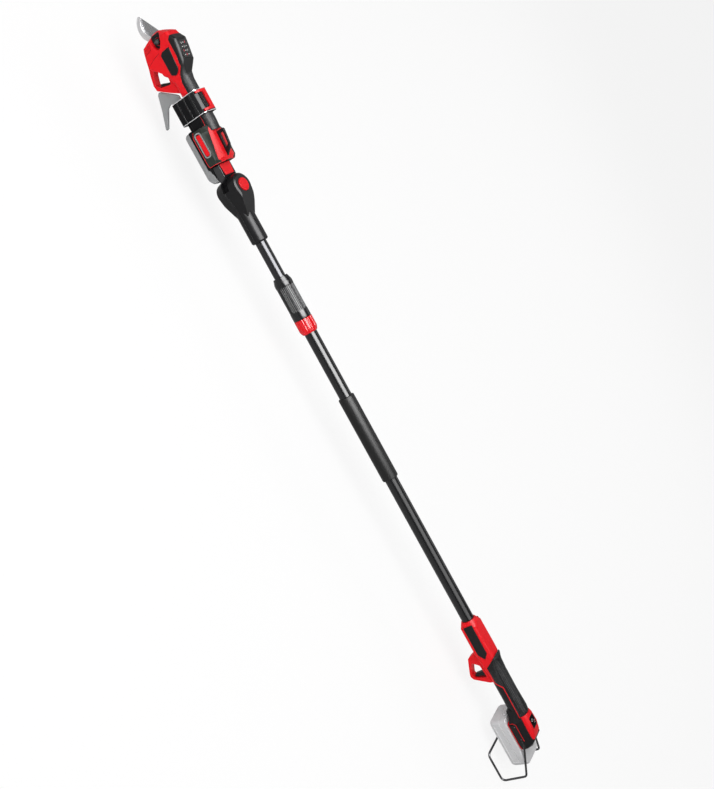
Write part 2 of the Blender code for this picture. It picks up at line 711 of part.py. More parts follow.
def handle():
    handle_housing()
    handle_skins()
    for name, sign in (("handle_panel_left", 1), ("handle_panel_right", -1)):
        side_panel(name, REAR_PANEL, sign, HOUSING_HALF_W, key="black")
    tidy(rear_display("rear_display", key="black"), "rear_display", "black")
    battery_foot()
    terminal_block("terminal_block", key="copper")
    stand()
    rear_trigger()
    box("trigger_switch", -150 * MM, -124 * MM, -8 * MM, 8 * MM, -9 * MM, 13 * MM, "black")


# Battery pack

def pack_form(name, radius):
    """The pack's outer form, with its ends drawn in and raised from below."""
    rear = [(PACK_FRONT - PACK_LENGTH + along * MM, drawn, raised) for along, drawn, raised in PACK_END]
    front = [(PACK_FRONT - along * MM, drawn, raised) for along, drawn, raised in PACK_END[::-1]]
    table = [(x, PACK_HALF_W - drawn * MM, PACK_LOW + raised * MM, PACK_HIGH, radius)
             for x, drawn, raised in rear + front]
    return loft(name, table)


def battery_pack():
    """Slide-on pack: deep lower case, upper case with the rail, cells and a release button."""
    x0 = PACK_FRONT - PACK_LENGTH
    lower = pack_form("lower", 9 * MM)
    slab = box("slab", x0 - 9 * MM, PACK_FRONT + 9 * MM, -60 * MM, 60 * MM, PACK_SPLIT - GAP, 0)
    cut(lower, slab)
    cells = box("cells", x0 + 9 * MM, PACK_FRONT - 9 * MM, -30 * MM, 30 * MM, PACK_LOW + 4 * MM,
                PACK_SPLIT - 2 * MM, grow=GAP)
    mouth = box("mouth", x0 + 9 * MM, PACK_FRONT - 9 * MM, -30 * MM, 30 * MM, PACK_LOW + 8 * MM, 0, grow=GAP)
    cut(lower, cells, mouth)
    for sign in (1, -1):
        low, high = sorted((sign * (PACK_HALF_W - 0.8 * MM), sign * (PACK_HALF_W + 5 * MM)))
        field = prism("field", rounded([(x0 + 12 * MM, -60 * MM), (PACK_FRONT - 12 * MM, -60 * MM),
                                        (PACK_FRONT - 12 * MM, -46 * MM), (x0 + 12 * MM, -46 * MM)], 4 * MM),
                      low, high)
        cut(lower, field)
    tidy(lower, "pack_lower_case", "pale")
    upper = pack_form("upper", 5 * MM)
    cut(upper, box("slab", x0 - 9 * MM, PACK_FRONT + 9 * MM, -60 * MM, 60 * MM, PACK_LOW - 5 * MM,
                   PACK_SPLIT))
    join(upper, rail("rail"))
    button = box("pocket", PACK_FRONT - 9 * MM, PACK_FRONT + 5 * MM, -13 * MM, 13 * MM, PACK_HIGH - 13 * MM,
                 PACK_HIGH - 3 * MM, grow=SLIDE_GAP)
    cut(upper, button)
    tidy(upper, "pack_upper_case", "pale")
    box("cell_block", x0 + 9 * MM, PACK_FRONT - 9 * MM, -30 * MM, 30 * MM, PACK_LOW + 4 * MM,
        PACK_SPLIT - 2 * MM, "copper")
    box("pack_button", PACK_FRONT - 5 * MM, PACK_FRONT + 2.5 * MM, -13 * MM, 13 * MM, PACK_HIGH - 13 * MM,
        PACK_HIGH - 3 * MM, "pale", bevel=2 * MM)


# Pole

def tube(name, low, high, radius, wall, key):
    profile = [(low, radius), (high, radius), (high, radius - wall), (low, radius - wall)]
    return turned(name, profile, key)


def fluted(name, low, high, outer, root, count, key=None):
    """A sleeve blank whose outside is scalloped lengthwise."""
    rings = []
    for x, ease in ((low, 1.0), (low + 3 * MM, 0.0), (high - 3 * MM, 0.0), (high, 1.0)):
        ring = []
        for i in range(count * 2):
            a = 2 * math.pi * i / (count * 2)
            r = (outer if i % 2 else root) - ease * (outer - root)
            ring.append((x, r * math.cos(a), r * math.sin(a)))
        rings.append(ring)
    return skin(rings, name, key)


def lock():
    """Red collar on the outer tube, slit collet at its end and the ribbed nut that squeezes it."""
    x0, x1 = COLLAR_X, NUT_X
    r, bore = COLLAR_R, TUBE_R + GAP
    profile = [(x0, bore), (x0, r - 4.3 * MM), (x0 + 3 * MM, r - 2.3 * MM), (x0 + 9 * MM, r), (x1 - GAP, r),
               (x1 - GAP, bore)]
    collar = turned("collar", profile)
    for i in range(12):
        a = 2 * math.pi * i / 12
        groove = rod("groove", "X", (0, (r + 1.0 * MM) * math.cos(a), (r + 1.0 * MM) * math.sin(a)),
                     x0 + 6 * MM, x1 + 1 * MM, 2.0 * MM, sides=8)
        cut(collar, groove)
    tidy(collar, "tube_collar", "red")
    seat = TUBE_END + GAP
    end = NUT_END - 14 * MM
    collet_in, collet_out = INNER_R + GAP, TUBE_R + COLLET_PROUD
    profile = [(seat, collet_in), (seat, collet_out), (end - 10 * MM, collet_out),
               (end, collet_in + 1.2 * MM), (end, collet_in)]
    collet = turned("collet", profile)
    for i in range(4):
        a = math.pi * i / 4
        slit = box("slit", seat + 14 * MM, end + 5 * MM, -20 * MM, 20 * MM, -0.7 * MM, 0.7 * MM)
        slit.data.transform(Matrix.Rotation(a + math.pi / 8, 4, "X"))
        cut(collet, slit)
    tidy(collet, "collet", "grey")
    body = fluted("nut", NUT_X + 19 * MM, NUT_END - 23 * MM, NUT_R - 0.6 * MM, NUT_R - 1.8 * MM,
                  NUT_RIB_COUNT)
    ring = turned("ring", [(NUT_X, 0), (NUT_X, NUT_R - 1 * MM), (NUT_X + 2 * MM, NUT_R),
                           (NUT_X + 18 * MM, NUT_R), (NUT_X + 20 * MM, NUT_R - 2 * MM), (NUT_X + 20 * MM, 0)])
    nose = turned("nose", [(NUT_END - 24 * MM, 0), (NUT_END - 24 * MM, NUT_R - 2 * MM),
                           (NUT_END - 22 * MM, NUT_R),
                           (NUT_END - 11 * MM, NUT_R), (NUT_END, NUT_R - 5 * MM), (NUT_END, 0)])
    join(body, ring, nose)
    hollow = turned("hollow", [
        (NUT_X - 1 * MM, 0), (NUT_X - 1 * MM, collet_out + SLIDE_GAP),
        (end - 9.6 * MM, collet_out + SLIDE_GAP),
        (end + 1 * MM, INNER_R + SLIDE_GAP + 1.4 * MM), (end + 1 * MM, INNER_R + SLIDE_GAP),
        (NUT_END + 1 * MM, INNER_R + SLIDE_GAP), (NUT_END + 1 * MM, 0)])
    cut(body, hollow)
    tidy(body, "lock_nut", "black")


def pole():
    tube("outer_tube", -TUBE_IN_HANDLE, TUBE_END, TUBE_R, TUBE_WALL, "tube")
    r = FOAM_R
    x0, x1 = FOAM_START, FOAM_START + FOAM_LENGTH
    turned("foam_grip", [(x0, TUBE_R + GAP), (x0, r - 3 * MM), (x0 + 1 * MM, r - 1 * MM), (x0 + 3 * MM, r),
                         (x1 - 3 * MM, r), (x1 - 1 * MM, r - 1 * MM), (x1, r - 3 * MM), (x1, TUBE_R + GAP)],
           "foam")
    lock()
    tube("inner_tube", INNER_REAR, INNER_END, INNER_R, INNER_WALL, "tube")
    bush_out = TUBE_R - TUBE_WALL - 0.15 * MM
    turned("guide_bush", [(INNER_REAR - 5 * MM, INNER_R - INNER_WALL - GAP), (INNER_REAR - 5 * MM, bush_out),
                          (INNER_REAR - GAP, bush_out), (INNER_REAR - GAP, INNER_R - INNER_WALL - GAP),
                          (INNER_REAR + 12 * MM, INNER_R - INNER_WALL - GAP),
                          (INNER_REAR + 12 * MM, INNER_R - INNER_WALL - 1.8 * MM),
                          (INNER_REAR - 5 * MM, INNER_R - INNER_WALL - 1.8 * MM)], "grey")


# Tilting joint

def yoke_plan(inset):
    """Plan of the yoke's cheeks: a round eye run out to the socket."""
    r = YOKE_R - inset
    pts = [(HINGE_X - 68 * MM + inset, 12.5 * MM - inset * 0.6)]
    pts += arc(HINGE_X, 0, r, 110, -110, 22)
    pts += [(HINGE_X - 68 * MM + inset, -12.5 * MM + inset * 0.6)]
    return pts


def yoke():
    """Upper and lower half of the fork that holds the tongue, split level with the pole's axis."""
    levels = [(YOKE_LOW, 7 * MM), (YOKE_LOW + 3 * MM, 5.5 * MM), (-2 * MM, 0), (YOKE_HIGH - 9 * MM, 0),
              (YOKE_HIGH - 3 * MM, 1.8 * MM), (YOKE_HIGH, 5.5 * MM)]
    form = skin([[(x, y, z) for x, y in yoke_plan(inset)] for z, inset in levels], "yoke")
    side = [(HINGE_X - 70 * MM, -12 * MM), (HINGE_X - 18 * MM, YOKE_LOW - 1 * MM),
            (HINGE_X + 40 * MM, YOKE_LOW - 1 * MM), (HINGE_X + 40 * MM, YOKE_HIGH + 1 * MM),
            (HINGE_X - 14 * MM, YOKE_HIGH + 1 * MM), (HINGE_X - 38 * MM, 27 * MM),
            (HINGE_X - 70 * MM, 12 * MM)]
    keep_inside(form, prism("side", side, -50 * MM, 50 * MM))
    r = YOKE_SOCKET_R
    socket = turned("socket", [(YOKE_X, 0), (YOKE_X, r - 2.5 * MM), (YOKE_X + 3 * MM, r),
                               (HINGE_X - 52 * MM, r),
                               (HINGE_X - 44 * MM, r - 3 * MM), (HINGE_X - 44 * MM, 0)])
    join(form, socket)
    slot_low, slot_high = TONGUE_LOW - SLIDE_GAP, TONGUE_HIGH + SLIDE_GAP
    cut(form, rod("slot", "Z", (HINGE_X, 0, 0), slot_low, slot_high, TONGUE_R + 0.7 * MM))
    cut(form, box("mouth", HINGE_X, HINGE_X + 50 * MM, -50 * MM, 50 * MM, slot_low, slot_high))
    cut(form, rod("bore", "X", (0, 0, 0), YOKE_X - 5 * MM, INNER_END + GAP, INNER_R + GAP))
    cut(form, rod("bolt", "Z", (HINGE_X, 0, 0), YOKE_LOW - 5 * MM, BUTTON_FLOOR + 5 * MM, BOLT_R + GAP,
                  sides=24))
    cut(form, rod("head", "Z", (HINGE_X, 0, 0), YOKE_LOW - 5 * MM, YOKE_LOW + 5 * MM + GAP, 9 * MM + GAP))
    cut(form, rod("button", "Z", (HINGE_X, 0, 0), BUTTON_FLOOR, YOKE_HIGH + 5 * MM, BUTTON_R + SLIDE_GAP))
    for name, low, high in (("yoke_lower", -GAP / 2, 60 * MM), ("yoke_upper", -60 * MM, GAP / 2)):
        half = copy_of(form, name)
        cut(half, box("away", YOKE_X - 9 * MM, HINGE_X + 60 * MM, -60 * MM, 60 * MM, low, high))
        tidy(half, name, "black")
    used = form.data
    bpy.data.objects.remove(form)
    bpy.data.meshes.remove(used)


def tilt_button():
    """Red release button, its coil spring and the bolt that the tongue turns on."""
    z1 = YOKE_HIGH + BUTTON_PROUD
    z0 = SPRING_HIGH + GAP
    button = turned("tilt_button", [
        (z0, 0), (z0, BUTTON_R), (z1 - 1.6 * MM, BUTTON_R), (z1 - 0.6 * MM, BUTTON_R - 0.8 * MM),
        (z1, BUTTON_R - 2.5 * MM), (z1, BUTTON_R * 0.55), (z1 - 0.4 * MM, 0)], "red", "Z", (HINGE_X, 0, 0))
    on_axis(button, (HINGE_X, 0, z0))
    turns, wire, radius = 2.5, 0.8 * MM, 9.5 * MM
    low = BUTTON_FLOOR + GAP + wire
    high = SPRING_HIGH - wire
    steps = int(turns * 14)
    path = []
    for i in range(steps + 1):
        a = 2 * math.pi * turns * i / steps
        path.append((HINGE_X + radius * math.cos(a), radius * math.sin(a), low + (high - low) * i / steps))
    sweep("button_spring", path, wire, "steel", sides=6)
    turned("hinge_bolt", [(YOKE_LOW + 1 * MM, 0), (YOKE_LOW + 1 * MM, 9 * MM), (YOKE_LOW + 5 * MM, 9 * MM),
                          (YOKE_LOW + 5 * MM, BOLT_R), (BUTTON_FLOOR - 1 * MM, BOLT_R),
                          (BUTTON_FLOOR - 1 * MM, 0)],
           "steel", "Z", (HINGE_X, 0, 0), 24)


# Adaptor between the joint and the shears

def adaptor_plan(half_w, rear, front, corner):
    h = HINGE_X
    return rounded([(h + rear, -half_w), (h + front, -half_w), (h + front, half_w), (h + rear, half_w)],
                   corner)


def adaptor_flank(name, sign, grow=0.0):
    """The part of the lower case that rises beside the neck, behind the shears' foot."""
    split = ADAPTOR_SPLIT
    side = [(10 * MM, split - 2 * MM), (58 * MM + grow, split - 2 * MM), (58 * MM + grow, split),
            (54 * MM + grow, 1 * MM + grow), (20 * MM, 7.5 * MM + grow), (10 * MM, 9 * MM + grow)]
    low, high = sorted((sign * (NECK_HALF_W + 4.5 * MM - grow), sign * 60 * MM))
    return prism(name, [(HINGE_X + x, z) for x, z in side], low, high)


def adaptor():
    """Tongue, neck and the battery-shaped plug that the shears' foot slides on."""
    h, w = HINGE_X, ADAPTOR_HALF_W
    clear = YOKE_R + 1.5 * MM
    z0, z1 = ADAPTOR_SPLIT + GAP, ADAPTOR_HIGH
    upper = skin([[(x, y, z) for x, y in adaptor_plan(a, r, f, 5 * MM)] for z, a, r, f in (
        (z0, w, 40 * MM, ADAPTOR_LENGTH), (z1, w - 0.5 * MM, 44 * MM, ADAPTOR_LENGTH))], "upper")
    shoulder = skin([[(x, y, z) for x, y in adaptor_plan(a, r, f, 4 * MM)] for z, a, r, f in (
        (z0, w - 1.5 * MM, 22 * MM, 60 * MM), (TONGUE_HIGH - 6 * MM, w - 4 * MM, 20 * MM, 60 * MM),
        (TONGUE_HIGH - 0.5 * MM, 23 * MM, 26 * MM, 60 * MM), (NECK_HIGH, 21 * MM, 31 * MM, 60 * MM))],
                    "shoulder")
    join(upper, shoulder)
    cut(upper, adaptor_flank("flank", 1, GAP), adaptor_flank("flank", -1, GAP))
    cut(upper, rod("eye", "Z", (h, 0, 0), -60 * MM, 60 * MM, clear))
    tongue = rod("tongue", "Z", (h, 0, 0), TONGUE_LOW, TONGUE_HIGH, TONGUE_R)
    neck = box("neck", h, h + 48 * MM, -NECK_HALF_W, NECK_HALF_W, TONGUE_LOW, TONGUE_HIGH)
    join(upper, tongue, neck)
    cut(upper, rod("bolt", "Z", (h, 0, 0), -60 * MM, 60 * MM, BOLT_R + SLIDE_GAP, sides=24))
    cut(upper, adaptor_latch("pocket", SLIDE_GAP))
    tidy(upper, "adaptor_upper", "black")
    lower = adaptor_lower_form(ADAPTOR_SPLIT)
    for sign in (1, -1):
        join(lower, keep_inside(adaptor_lower_form(20 * MM), adaptor_flank("flank", sign)))
    cut(lower, rod("eye", "Z", (h, 0, 0), -60 * MM, 60 * MM, clear))
    cut(lower, box("tongue_room", h, h + 49 * MM, -NECK_HALF_W - GAP, NECK_HALF_W + GAP, TONGUE_LOW - GAP,
                   9 * MM))
    tidy(lower, "adaptor_lower", "grey")
    latch = adaptor_latch("adaptor_latch")
    tidy(latch, "adaptor_latch", "red")


def adaptor_lower_form(high):
    """Outer form of the adaptor's lower case up to a height."""
    low, w, front = ADAPTOR_LOW, ADAPTOR_HALF_W, ADAPTOR_LENGTH
    levels = [(low, w - 6 * MM, 40 * MM, front - 6 * MM),
              (low + 2 * MM, w - 4 * MM, 37 * MM, front - 4 * MM),
              (low + 6 * MM, w - 2 * MM, 33 * MM, front - 2 * MM),
              (low + 11 * MM, w - 1 * MM, 28 * MM, front - 1 * MM),
              (high, w - 1 * MM, 26 * MM, front - 1 * MM)]
    return skin([[(x, y, z) for x, y in adaptor_plan(a, r, f, 5 * MM)] for z, a, r, f in levels], "lower")


def adaptor_latch(name, grow=0.0):
    """Red push latch on the neck's top; with grow, the pocket that it sinks into."""
    h = HINGE_X
    x0, x1 = h + 34 * MM - grow, h + 59.5 * MM + grow
    w = 18 * MM + grow
    low = NECK_HIGH - 7 * MM - (4 * MM if grow else 0)
    high = NECK_HIGH + 1.6 * MM + (5 * MM if grow else 0)
    outline = rounded([(x0, -w + 3 * MM), (x1, -w), (x1, w), (x0, w - 3 * MM)], 2 * MM)
    return prism(name, outline, low, high, "Z")


# Foot of the shears

def shears_foot_ring(x, half_w, low, knee, shoulder, top_w, high):
    pts = [(half_w, low), (half_w - 1.5 * MM, knee), (top_w + 11 * MM, shoulder), (top_w, high)]
    full = pts + [(-y, z) for y, z in pts[::-1]]
    return [(x, y, z) for y, z in rounded(full, [1e-3, 3e-3, 3e-3, 3e-3, 3e-3, 3e-3, 3e-3, 1e-3])]


def foot_form(name, grow=0.0):
    """Wide foot of the shears, drawn in over two facets to the grip."""
    x = HINGE_X + SHEARS_FOOT_REAR
    w, g = SHEARS_FOOT_HALF_W + grow, grow
    low = ADAPTOR_HIGH + GAP - g
    rings = [
        shears_foot_ring(x - g, w - 2 * MM, low, 23 * MM, 29 * MM, 10 * MM + g, 32 * MM + g),
        shears_foot_ring(x + 7 * MM, w, low, 27 * MM, 33 * MM, 12 * MM + g, 36.5 * MM + g),
        shears_foot_ring(x + 68 * MM, w, low, 28 * MM, 36 * MM, 13 * MM + g, 41 * MM + g),
        shears_foot_ring(x + SHEARS_FOOT_LENGTH + g, w - 8 * MM, low, 24 * MM, 32 * MM, 12 * MM + g,
                         40 * MM + g)]
    return skin(rings, name)


def shears_foot():
    """Grey-green foot, red cover over it, red inlays in its flanks and the hanging loop."""
    x = HINGE_X + SHEARS_FOOT_REAR
    foot = foot_form("foot")
    cut(foot, prism("top", cover_edge(x, -GAP, 80 * MM), -60 * MM, 60 * MM))
    cut(foot, grip_blank("grip", GAP))
    for sign in (1, -1):
        cut(foot, foot_inlay("recess", sign, GAP))
    tidy(foot, "shears_foot", "flank")
    cover = foot_form("cover")
    cut(cover, prism("low", cover_edge(x, 0, -20 * MM), -60 * MM, 60 * MM))
    cut(cover, grip_blank("grip", GAP))
    cut(cover, hanging_loop("notch", GAP * 1.5))
    tidy(cover, "foot_cover", "red")
    for name, sign in (("foot_inlay_left", 1), ("foot_inlay_right", -1)):
        tidy(foot_inlay(name, sign), name, "red")
    tidy(hanging_loop("hanging_loop"), "hanging_loop", "black")


def cover_edge(x, shift, far):
    """Side view of the line between the foot and its cover, closed at a height beyond them."""
    return [(x - 9 * MM, 28.5 * MM + shift), (x + 99 * MM, 40.5 * MM + shift), (x + 99 * MM, far),
            (x - 9 * MM, far)]


def foot_inlay(name, sign, grow=0.0):
    """Long red inlay in the lower facet of the foot's flank."""
    x = HINGE_X + SHEARS_FOOT_REAR
    x0, x1, z0, z1 = x + 22 * MM - grow, x + 70 * MM + grow, 13 * MM - grow, 24 * MM + grow
    outline = rounded([(x0, z0), (x1, z0), (x1, z1), (x0, z1)], 4.8 * MM)
    inner = SHEARS_FOOT_HALF_W - 4 * MM - grow
    low, high = sorted((sign * inner, sign * (SHEARS_FOOT_HALF_W + 5 * MM)))
    inlay = prism(name, outline, low, high)
    if grow:
        return inlay
    return keep_inside(inlay, foot_form("form", 0.3 * MM))


def hanging_loop(name, grow=0.0):
    """Hanging loop that stands on the foot's cover."""
    x = HINGE_X + SHEARS_FOOT_REAR
    g = grow
    outer = [(x + 3 * MM - g, 31.5 * MM - g), (x + 60 * MM + g, 37.8 * MM - g), (x + 60.5 * MM + g, 57 * MM),
             (x + 57 * MM, 59.5 * MM), (x + 24 * MM - g, 55 * MM + g), (x + 17 * MM - g, 50 * MM + g)]
    half = LOOP_HALF_T + g
    loop = prism(name, outer if g else rounded(outer, [1e-3, 1e-3, 2e-3, 3e-3, 4e-3, 4e-3]), -half, half)
    if not g:
        eye = [(x + 22 * MM, 42.5 * MM), (x + 53 * MM, 45 * MM), (x + 53 * MM, 55 * MM),
               (x + 26.5 * MM, 51.2 * MM)]
        cut(loop, prism("eye", rounded(eye, 1.2 * MM), -20 * MM, 20 * MM))
    return loop


# Shears

def grip_blank(name, grow=0.0):
    """Grip of the shears, without its head."""
    h = HINGE_X
    w, lo, hi = SGRIP_HALF_W, SGRIP_LOW, SGRIP_HIGH
    table = [
        (h + GRIP_START, w - 1 * MM, lo + 4 * MM, hi - 1.5 * MM, 16 * MM),
        (h + 146 * MM, w, lo, hi, 17 * MM),
        (h + 200 * MM, w, lo, hi, 17 * MM),
        (h + 262 * MM, w, lo, hi, 17 * MM)]
    return loft(name, table, grow=grow)


def head_table():
    """Sections of the shears' head from the grip to the blade mouth."""
    h = HINGE_X
    w = HEAD_HALF_W
    return [
        (h + 232 * MM, 16 * MM, 10 * MM, 48 * MM, 14 * MM),
        (h + 254 * MM, 19 * MM, 7 * MM, 51 * MM, 13 * MM),
        (h + 266 * MM, w - 1.5 * MM, 4 * MM, 60 * MM, 9 * MM),
        (h + 274 * MM, w, -4 * MM, 66 * MM, 8 * MM),
        (h + 292 * MM, w, -19 * MM, 70 * MM, 9 * MM),
        (h + 302 * MM, w, -27 * MM, 72 * MM, 9 * MM),
        (h + 318 * MM, w - 0.5 * MM, -22.5 * MM, 74 * MM, 8 * MM),
        (h + 331 * MM, w - 1.5 * MM, -18.5 * MM, 65 * MM, 7 * MM),
        (h + 340 * MM, w - 3 * MM, -15 * MM, 62 * MM, 6 * MM),
        (h + 344.5 * MM, w - 6 * MM, -6 * MM, 56 * MM, 7 * MM),
        (h + 349 * MM, w - 9 * MM, 4 * MM, 48 * MM, 8 * MM),
        (h + 354 * MM, w - 13 * MM, 16 * MM, 38 * MM, 7 * MM)]


SHEARS_GUARD = [(216, 27), (238, -12), (258, -42.5), (270, -44), (290, -38.5), (304, -33), (312, -26),
                (312, 30)]
SHEARS_WINDOW = [(252, -1), (276, 3), (290, -11), (294, -26), (288, -31), (269, -38), (259, -31)]


def local(points):
    """Outline points in millimetres from the hinge axis, in metres in the drawing frame."""
    return [(HINGE_X + a * MM, b * MM) for a, b in points]


def head_blank(name):
    """Grip and head of the shears as one form, with the finger guard and its window."""
    form = grip_blank(name)
    join(form, loft("head", head_table()))
    guard = prism("guard", rounded(local(SHEARS_GUARD), [0, 6e-3, 4e-3, 4e-3, 4e-3, 4e-3, 2e-3, 0]),
                  -GUARD_HALF_W, GUARD_HALF_W)
    join(form, guard)
    cut(form, prism("window", rounded(local(SHEARS_WINDOW), 3 * MM), -30 * MM, 30 * MM))
    return form


def cover_zone(grow):
    """Side view of the part of the shears that the black cover takes."""
    g = grow / MM
    pts = [(100, 33 - g), (240, 33.5 - g), (255, 40 - g), (267, 53 - g), (288, 57.5 - g), (323, 57.5 - g),
           (332 + g, 66 - g), (342 + g, 90), (342 + g, 120), (100, 120)]
    return prism("zone", local(pts), -60 * MM, 60 * MM)


SHEARS_TRIGGER_PIVOT = Vector((HINGE_X + 249 * MM, 0, 9 * MM))
SHEARS_TRIGGER_OUTLINE = [(243, 13), (254, 13), (257, 0), (260, -12), (266, -27), (261, -29), (253, -15),
                          (246, 0)]
LEVER_PIVOT = Vector((HINGE_X + 298 * MM, 0, -15 * MM))
LEVER_OUTLINE = [(284.8, -9.5), (289, -5), (301, -10), (301.5, -17), (296.5, -20.5), (291, -18)]
MOTOR_LENGTH = 39.0 * MM
MOTOR_R = 12.0 * MM
MOTOR_Z = 36.0 * MM
SECTOR_TIP_R = MODULE * (SECTOR_TEETH / 2 + 1)
PINION_TIP_R = MODULE * (PINION_TEETH / 2 + 1)
GEAR_REACH = MODULE * (SECTOR_TEETH + PINION_TEETH) / 2
TOWARDS_PINION = math.radians(PINION_AT)
PINION = PIVOT + Vector((math.cos(TOWARDS_PINION), 0, math.sin(TOWARDS_PINION))) * GEAR_REACH
MOTOR_FRONT = PINION.x - PINION_TIP_R - 2.6 * MM
GEARBOX = (MOTOR_FRONT + 0.4 * MM, PINION.x + 11.4 * MM, -17 * MM, -BLADE_T - 1 * MM, PINION.z - 9.7 * MM,
           PINION.z + 18.3 * MM)


def teardrop(grow):
    """Outline of the pivot's side recess, from the cooling slots to the blade mouth."""
    g = grow / MM
    return rounded(local([(318 - g, 22), (321, 31 + g), (331, 38 + g), (341, 41 + g), (360 + g, 38),
                          (360 + g, 18 - g), (343, 13 - g), (328, 15 - g)]), 3 * MM)


def shears_shells():
    """Red halves of the shears, open for the blades, the trigger and what they hold."""
    form = head_blank("form")
    cut(form, cover_zone(0))
    h = HINGE_X
    slot = [(233, 22), (258, 22), (258, 2), (268, -29), (262, -34.5), (256, -34), (253.5, -30), (241, -4),
            (233, 6)]
    cut(form, prism("slot", local(slot), -SLOT_HALF_W, SLOT_HALF_W))
    lever_room = [(280, -2), (290, 2), (306, -6), (306, -20), (297, -25.5), (287, -22)]
    cut(form, prism("lever", local(lever_room), -4.4 * MM, 4.4 * MM))
    cut(form, stubs(SHEARS_TRIGGER_PIVOT, STUB_REACH, PIN_R, GAP))
    cut(form, stubs(LEVER_PIVOT, LEVER_REACH, LEVER_PIN_R, GAP))
    gear_room = rod("gear_room", "Y", PIVOT, -BLADE_T - 0.8 * MM, BLADE_T + 0.8 * MM,
                    SECTOR_TIP_R + GEAR_ROOM)
    mouth = box("mouth", PIVOT.x + 1 * MM, PIVOT.x + 40 * MM, -BLADE_T - 0.7 * MM, BLADE_T + 0.7 * MM,
                -30 * MM, 58 * MM)
    cut(form, gear_room, mouth)
    cut(form, rod("pinion", "Y", PINION, -BLADE_T - 0.7 * MM, 3 * MM, PINION_TIP_R + PINION_ROOM))
    for sign in (1, -1):
        low, high = sorted((sign * 10 * MM, sign * 40 * MM))
        cut(form, prism("recess", teardrop(0), low, high))
        cut(form, side_panel("recess", SHEARS_PANEL, sign, HEAD_HALF_W, GAP, shift=h))
    cut(form, rod("bolt", "Y", PIVOT, -20 * MM, 20 * MM, PIVOT_R + 1.6 * MM, sides=24))
    cut(form, motor_bay())
    x0, x1, y0, y1, z0, z1 = GEARBOX
    cut(form, box("gearbox", x0, x1, y0, y1, z0, z1, grow=GAP))
    cut(form, box("switch", h + 231 * MM, h + 242 * MM, -6 * MM, 6 * MM, 14 * MM, 28 * MM, grow=GAP))
    halves(form, "shears_shell_left", "shears_shell_right", "red")


def shears_cover():
    """Black grip skin and top cover in one moulding."""
    cover = head_blank("cover")
    keep_inside(cover, cover_zone(-GAP))
    cut(cover, shears_display("recess", GAP))
    cut(cover, motor_bay())
    cut(cover, rod("gear", "Y", PIVOT, -BLADE_T - 0.8 * MM, BLADE_T + 0.8 * MM, SECTOR_TIP_R + GEAR_ROOM))
    tidy(cover, "shears_cover", "soft_black")


def shears_display(name, grow=0.0, key=None):
    """Control panel in the slope of the head's top."""
    g = grow
    x0, x1 = HINGE_X + 277 * MM, HINGE_X + 314 * MM
    deep, proud = 2 * MM + g, 0.4 * MM + g * 20
    side = [(x0 - g, head_top(x0) - deep), (x1 + g, head_top(x1) - deep), (x1 + g, head_top(x1) + proud),
            (x0 - g, head_top(x0) + proud)]
    return prism(name, side, -11 * MM - g, 11 * MM + g, key=key)


def head_top(x):
    """Height of the head's top at x, between the sections of its form."""
    rows = head_table()
    for a, b in zip(rows, rows[1:]):
        if a[0] <= x <= b[0]:
            return a[3] + (b[3] - a[3]) * (x - a[0]) / (b[0] - a[0])
    return rows[-1][3]


def motor_bay():
    """Room for the motor between the housing halves."""
    return rod("bay", "X", (0, 0, MOTOR_Z), MOTOR_FRONT - MOTOR_LENGTH - GAP, MOTOR_FRONT + GAP,
               MOTOR_R + GAP)


def tooth(pitch_r, teeth, at, backlash=0.06):
    """One involute-like tooth as (radius, angle) points from flank root to flank root."""
    addendum, dedendum = MODULE, 1.2 * MODULE
    pressure = math.radians(20)
    base = pitch_r * math.cos(pressure)
    half_at_pitch = math.pi / (2 * teeth) * (1 - backlash)
    inv_pitch = math.tan(pressure) - pressure
    pts = []
    for radius in (pitch_r - dedendum, pitch_r - 0.45 * MODULE, pitch_r, pitch_r + 0.5 * MODULE,
                   pitch_r + addendum):
        if radius <= base:
            half = half_at_pitch + inv_pitch
        else:
            alpha = math.acos(base / radius)
            half = half_at_pitch + inv_pitch - (math.tan(alpha) - alpha)
        pts.append((radius, half))
    rising = [(r, at - half) for r, half in pts]
    falling = [(r, at + half) for r, half in pts[::-1]]
    return rising + falling


def pinion():
    """Steel pinion on its shaft; the shaft runs in the gearbox."""
    pitch = MODULE * PINION_TEETH / 2
    towards = TOWARDS_PINION + math.pi
    step = 2 * math.pi / PINION_TEETH
    pts = []
    for k in range(PINION_TEETH):
        for r, a in tooth(pitch, PINION_TEETH, towards + step * (k + 0.5)):
            pts.append((PINION.x + r * math.cos(a), PINION.z + r * math.sin(a)))
    gear = prism("pinion", pts, -BLADE_T + 0.1 * MM, -0.1 * MM)
    join(gear, rod("shaft", "Y", PINION, -14 * MM, 2.2 * MM, 3.2 * MM, sides=16))
    on_axis(tidy(gear, "drive_pinion", "steel"), PINION)


def blade_outline():
    """Cutting blade about its pivot: straight back, bellied edge, and the toothed tail."""
    back = [(17, 8), (40, -6), (61, -19)]
    tip = [(BLADE_REACH / MM - 1.0, -21.4)]
    belly = arc(39, 10, 39.5, -54, -130, 10)
    return back, tip, belly


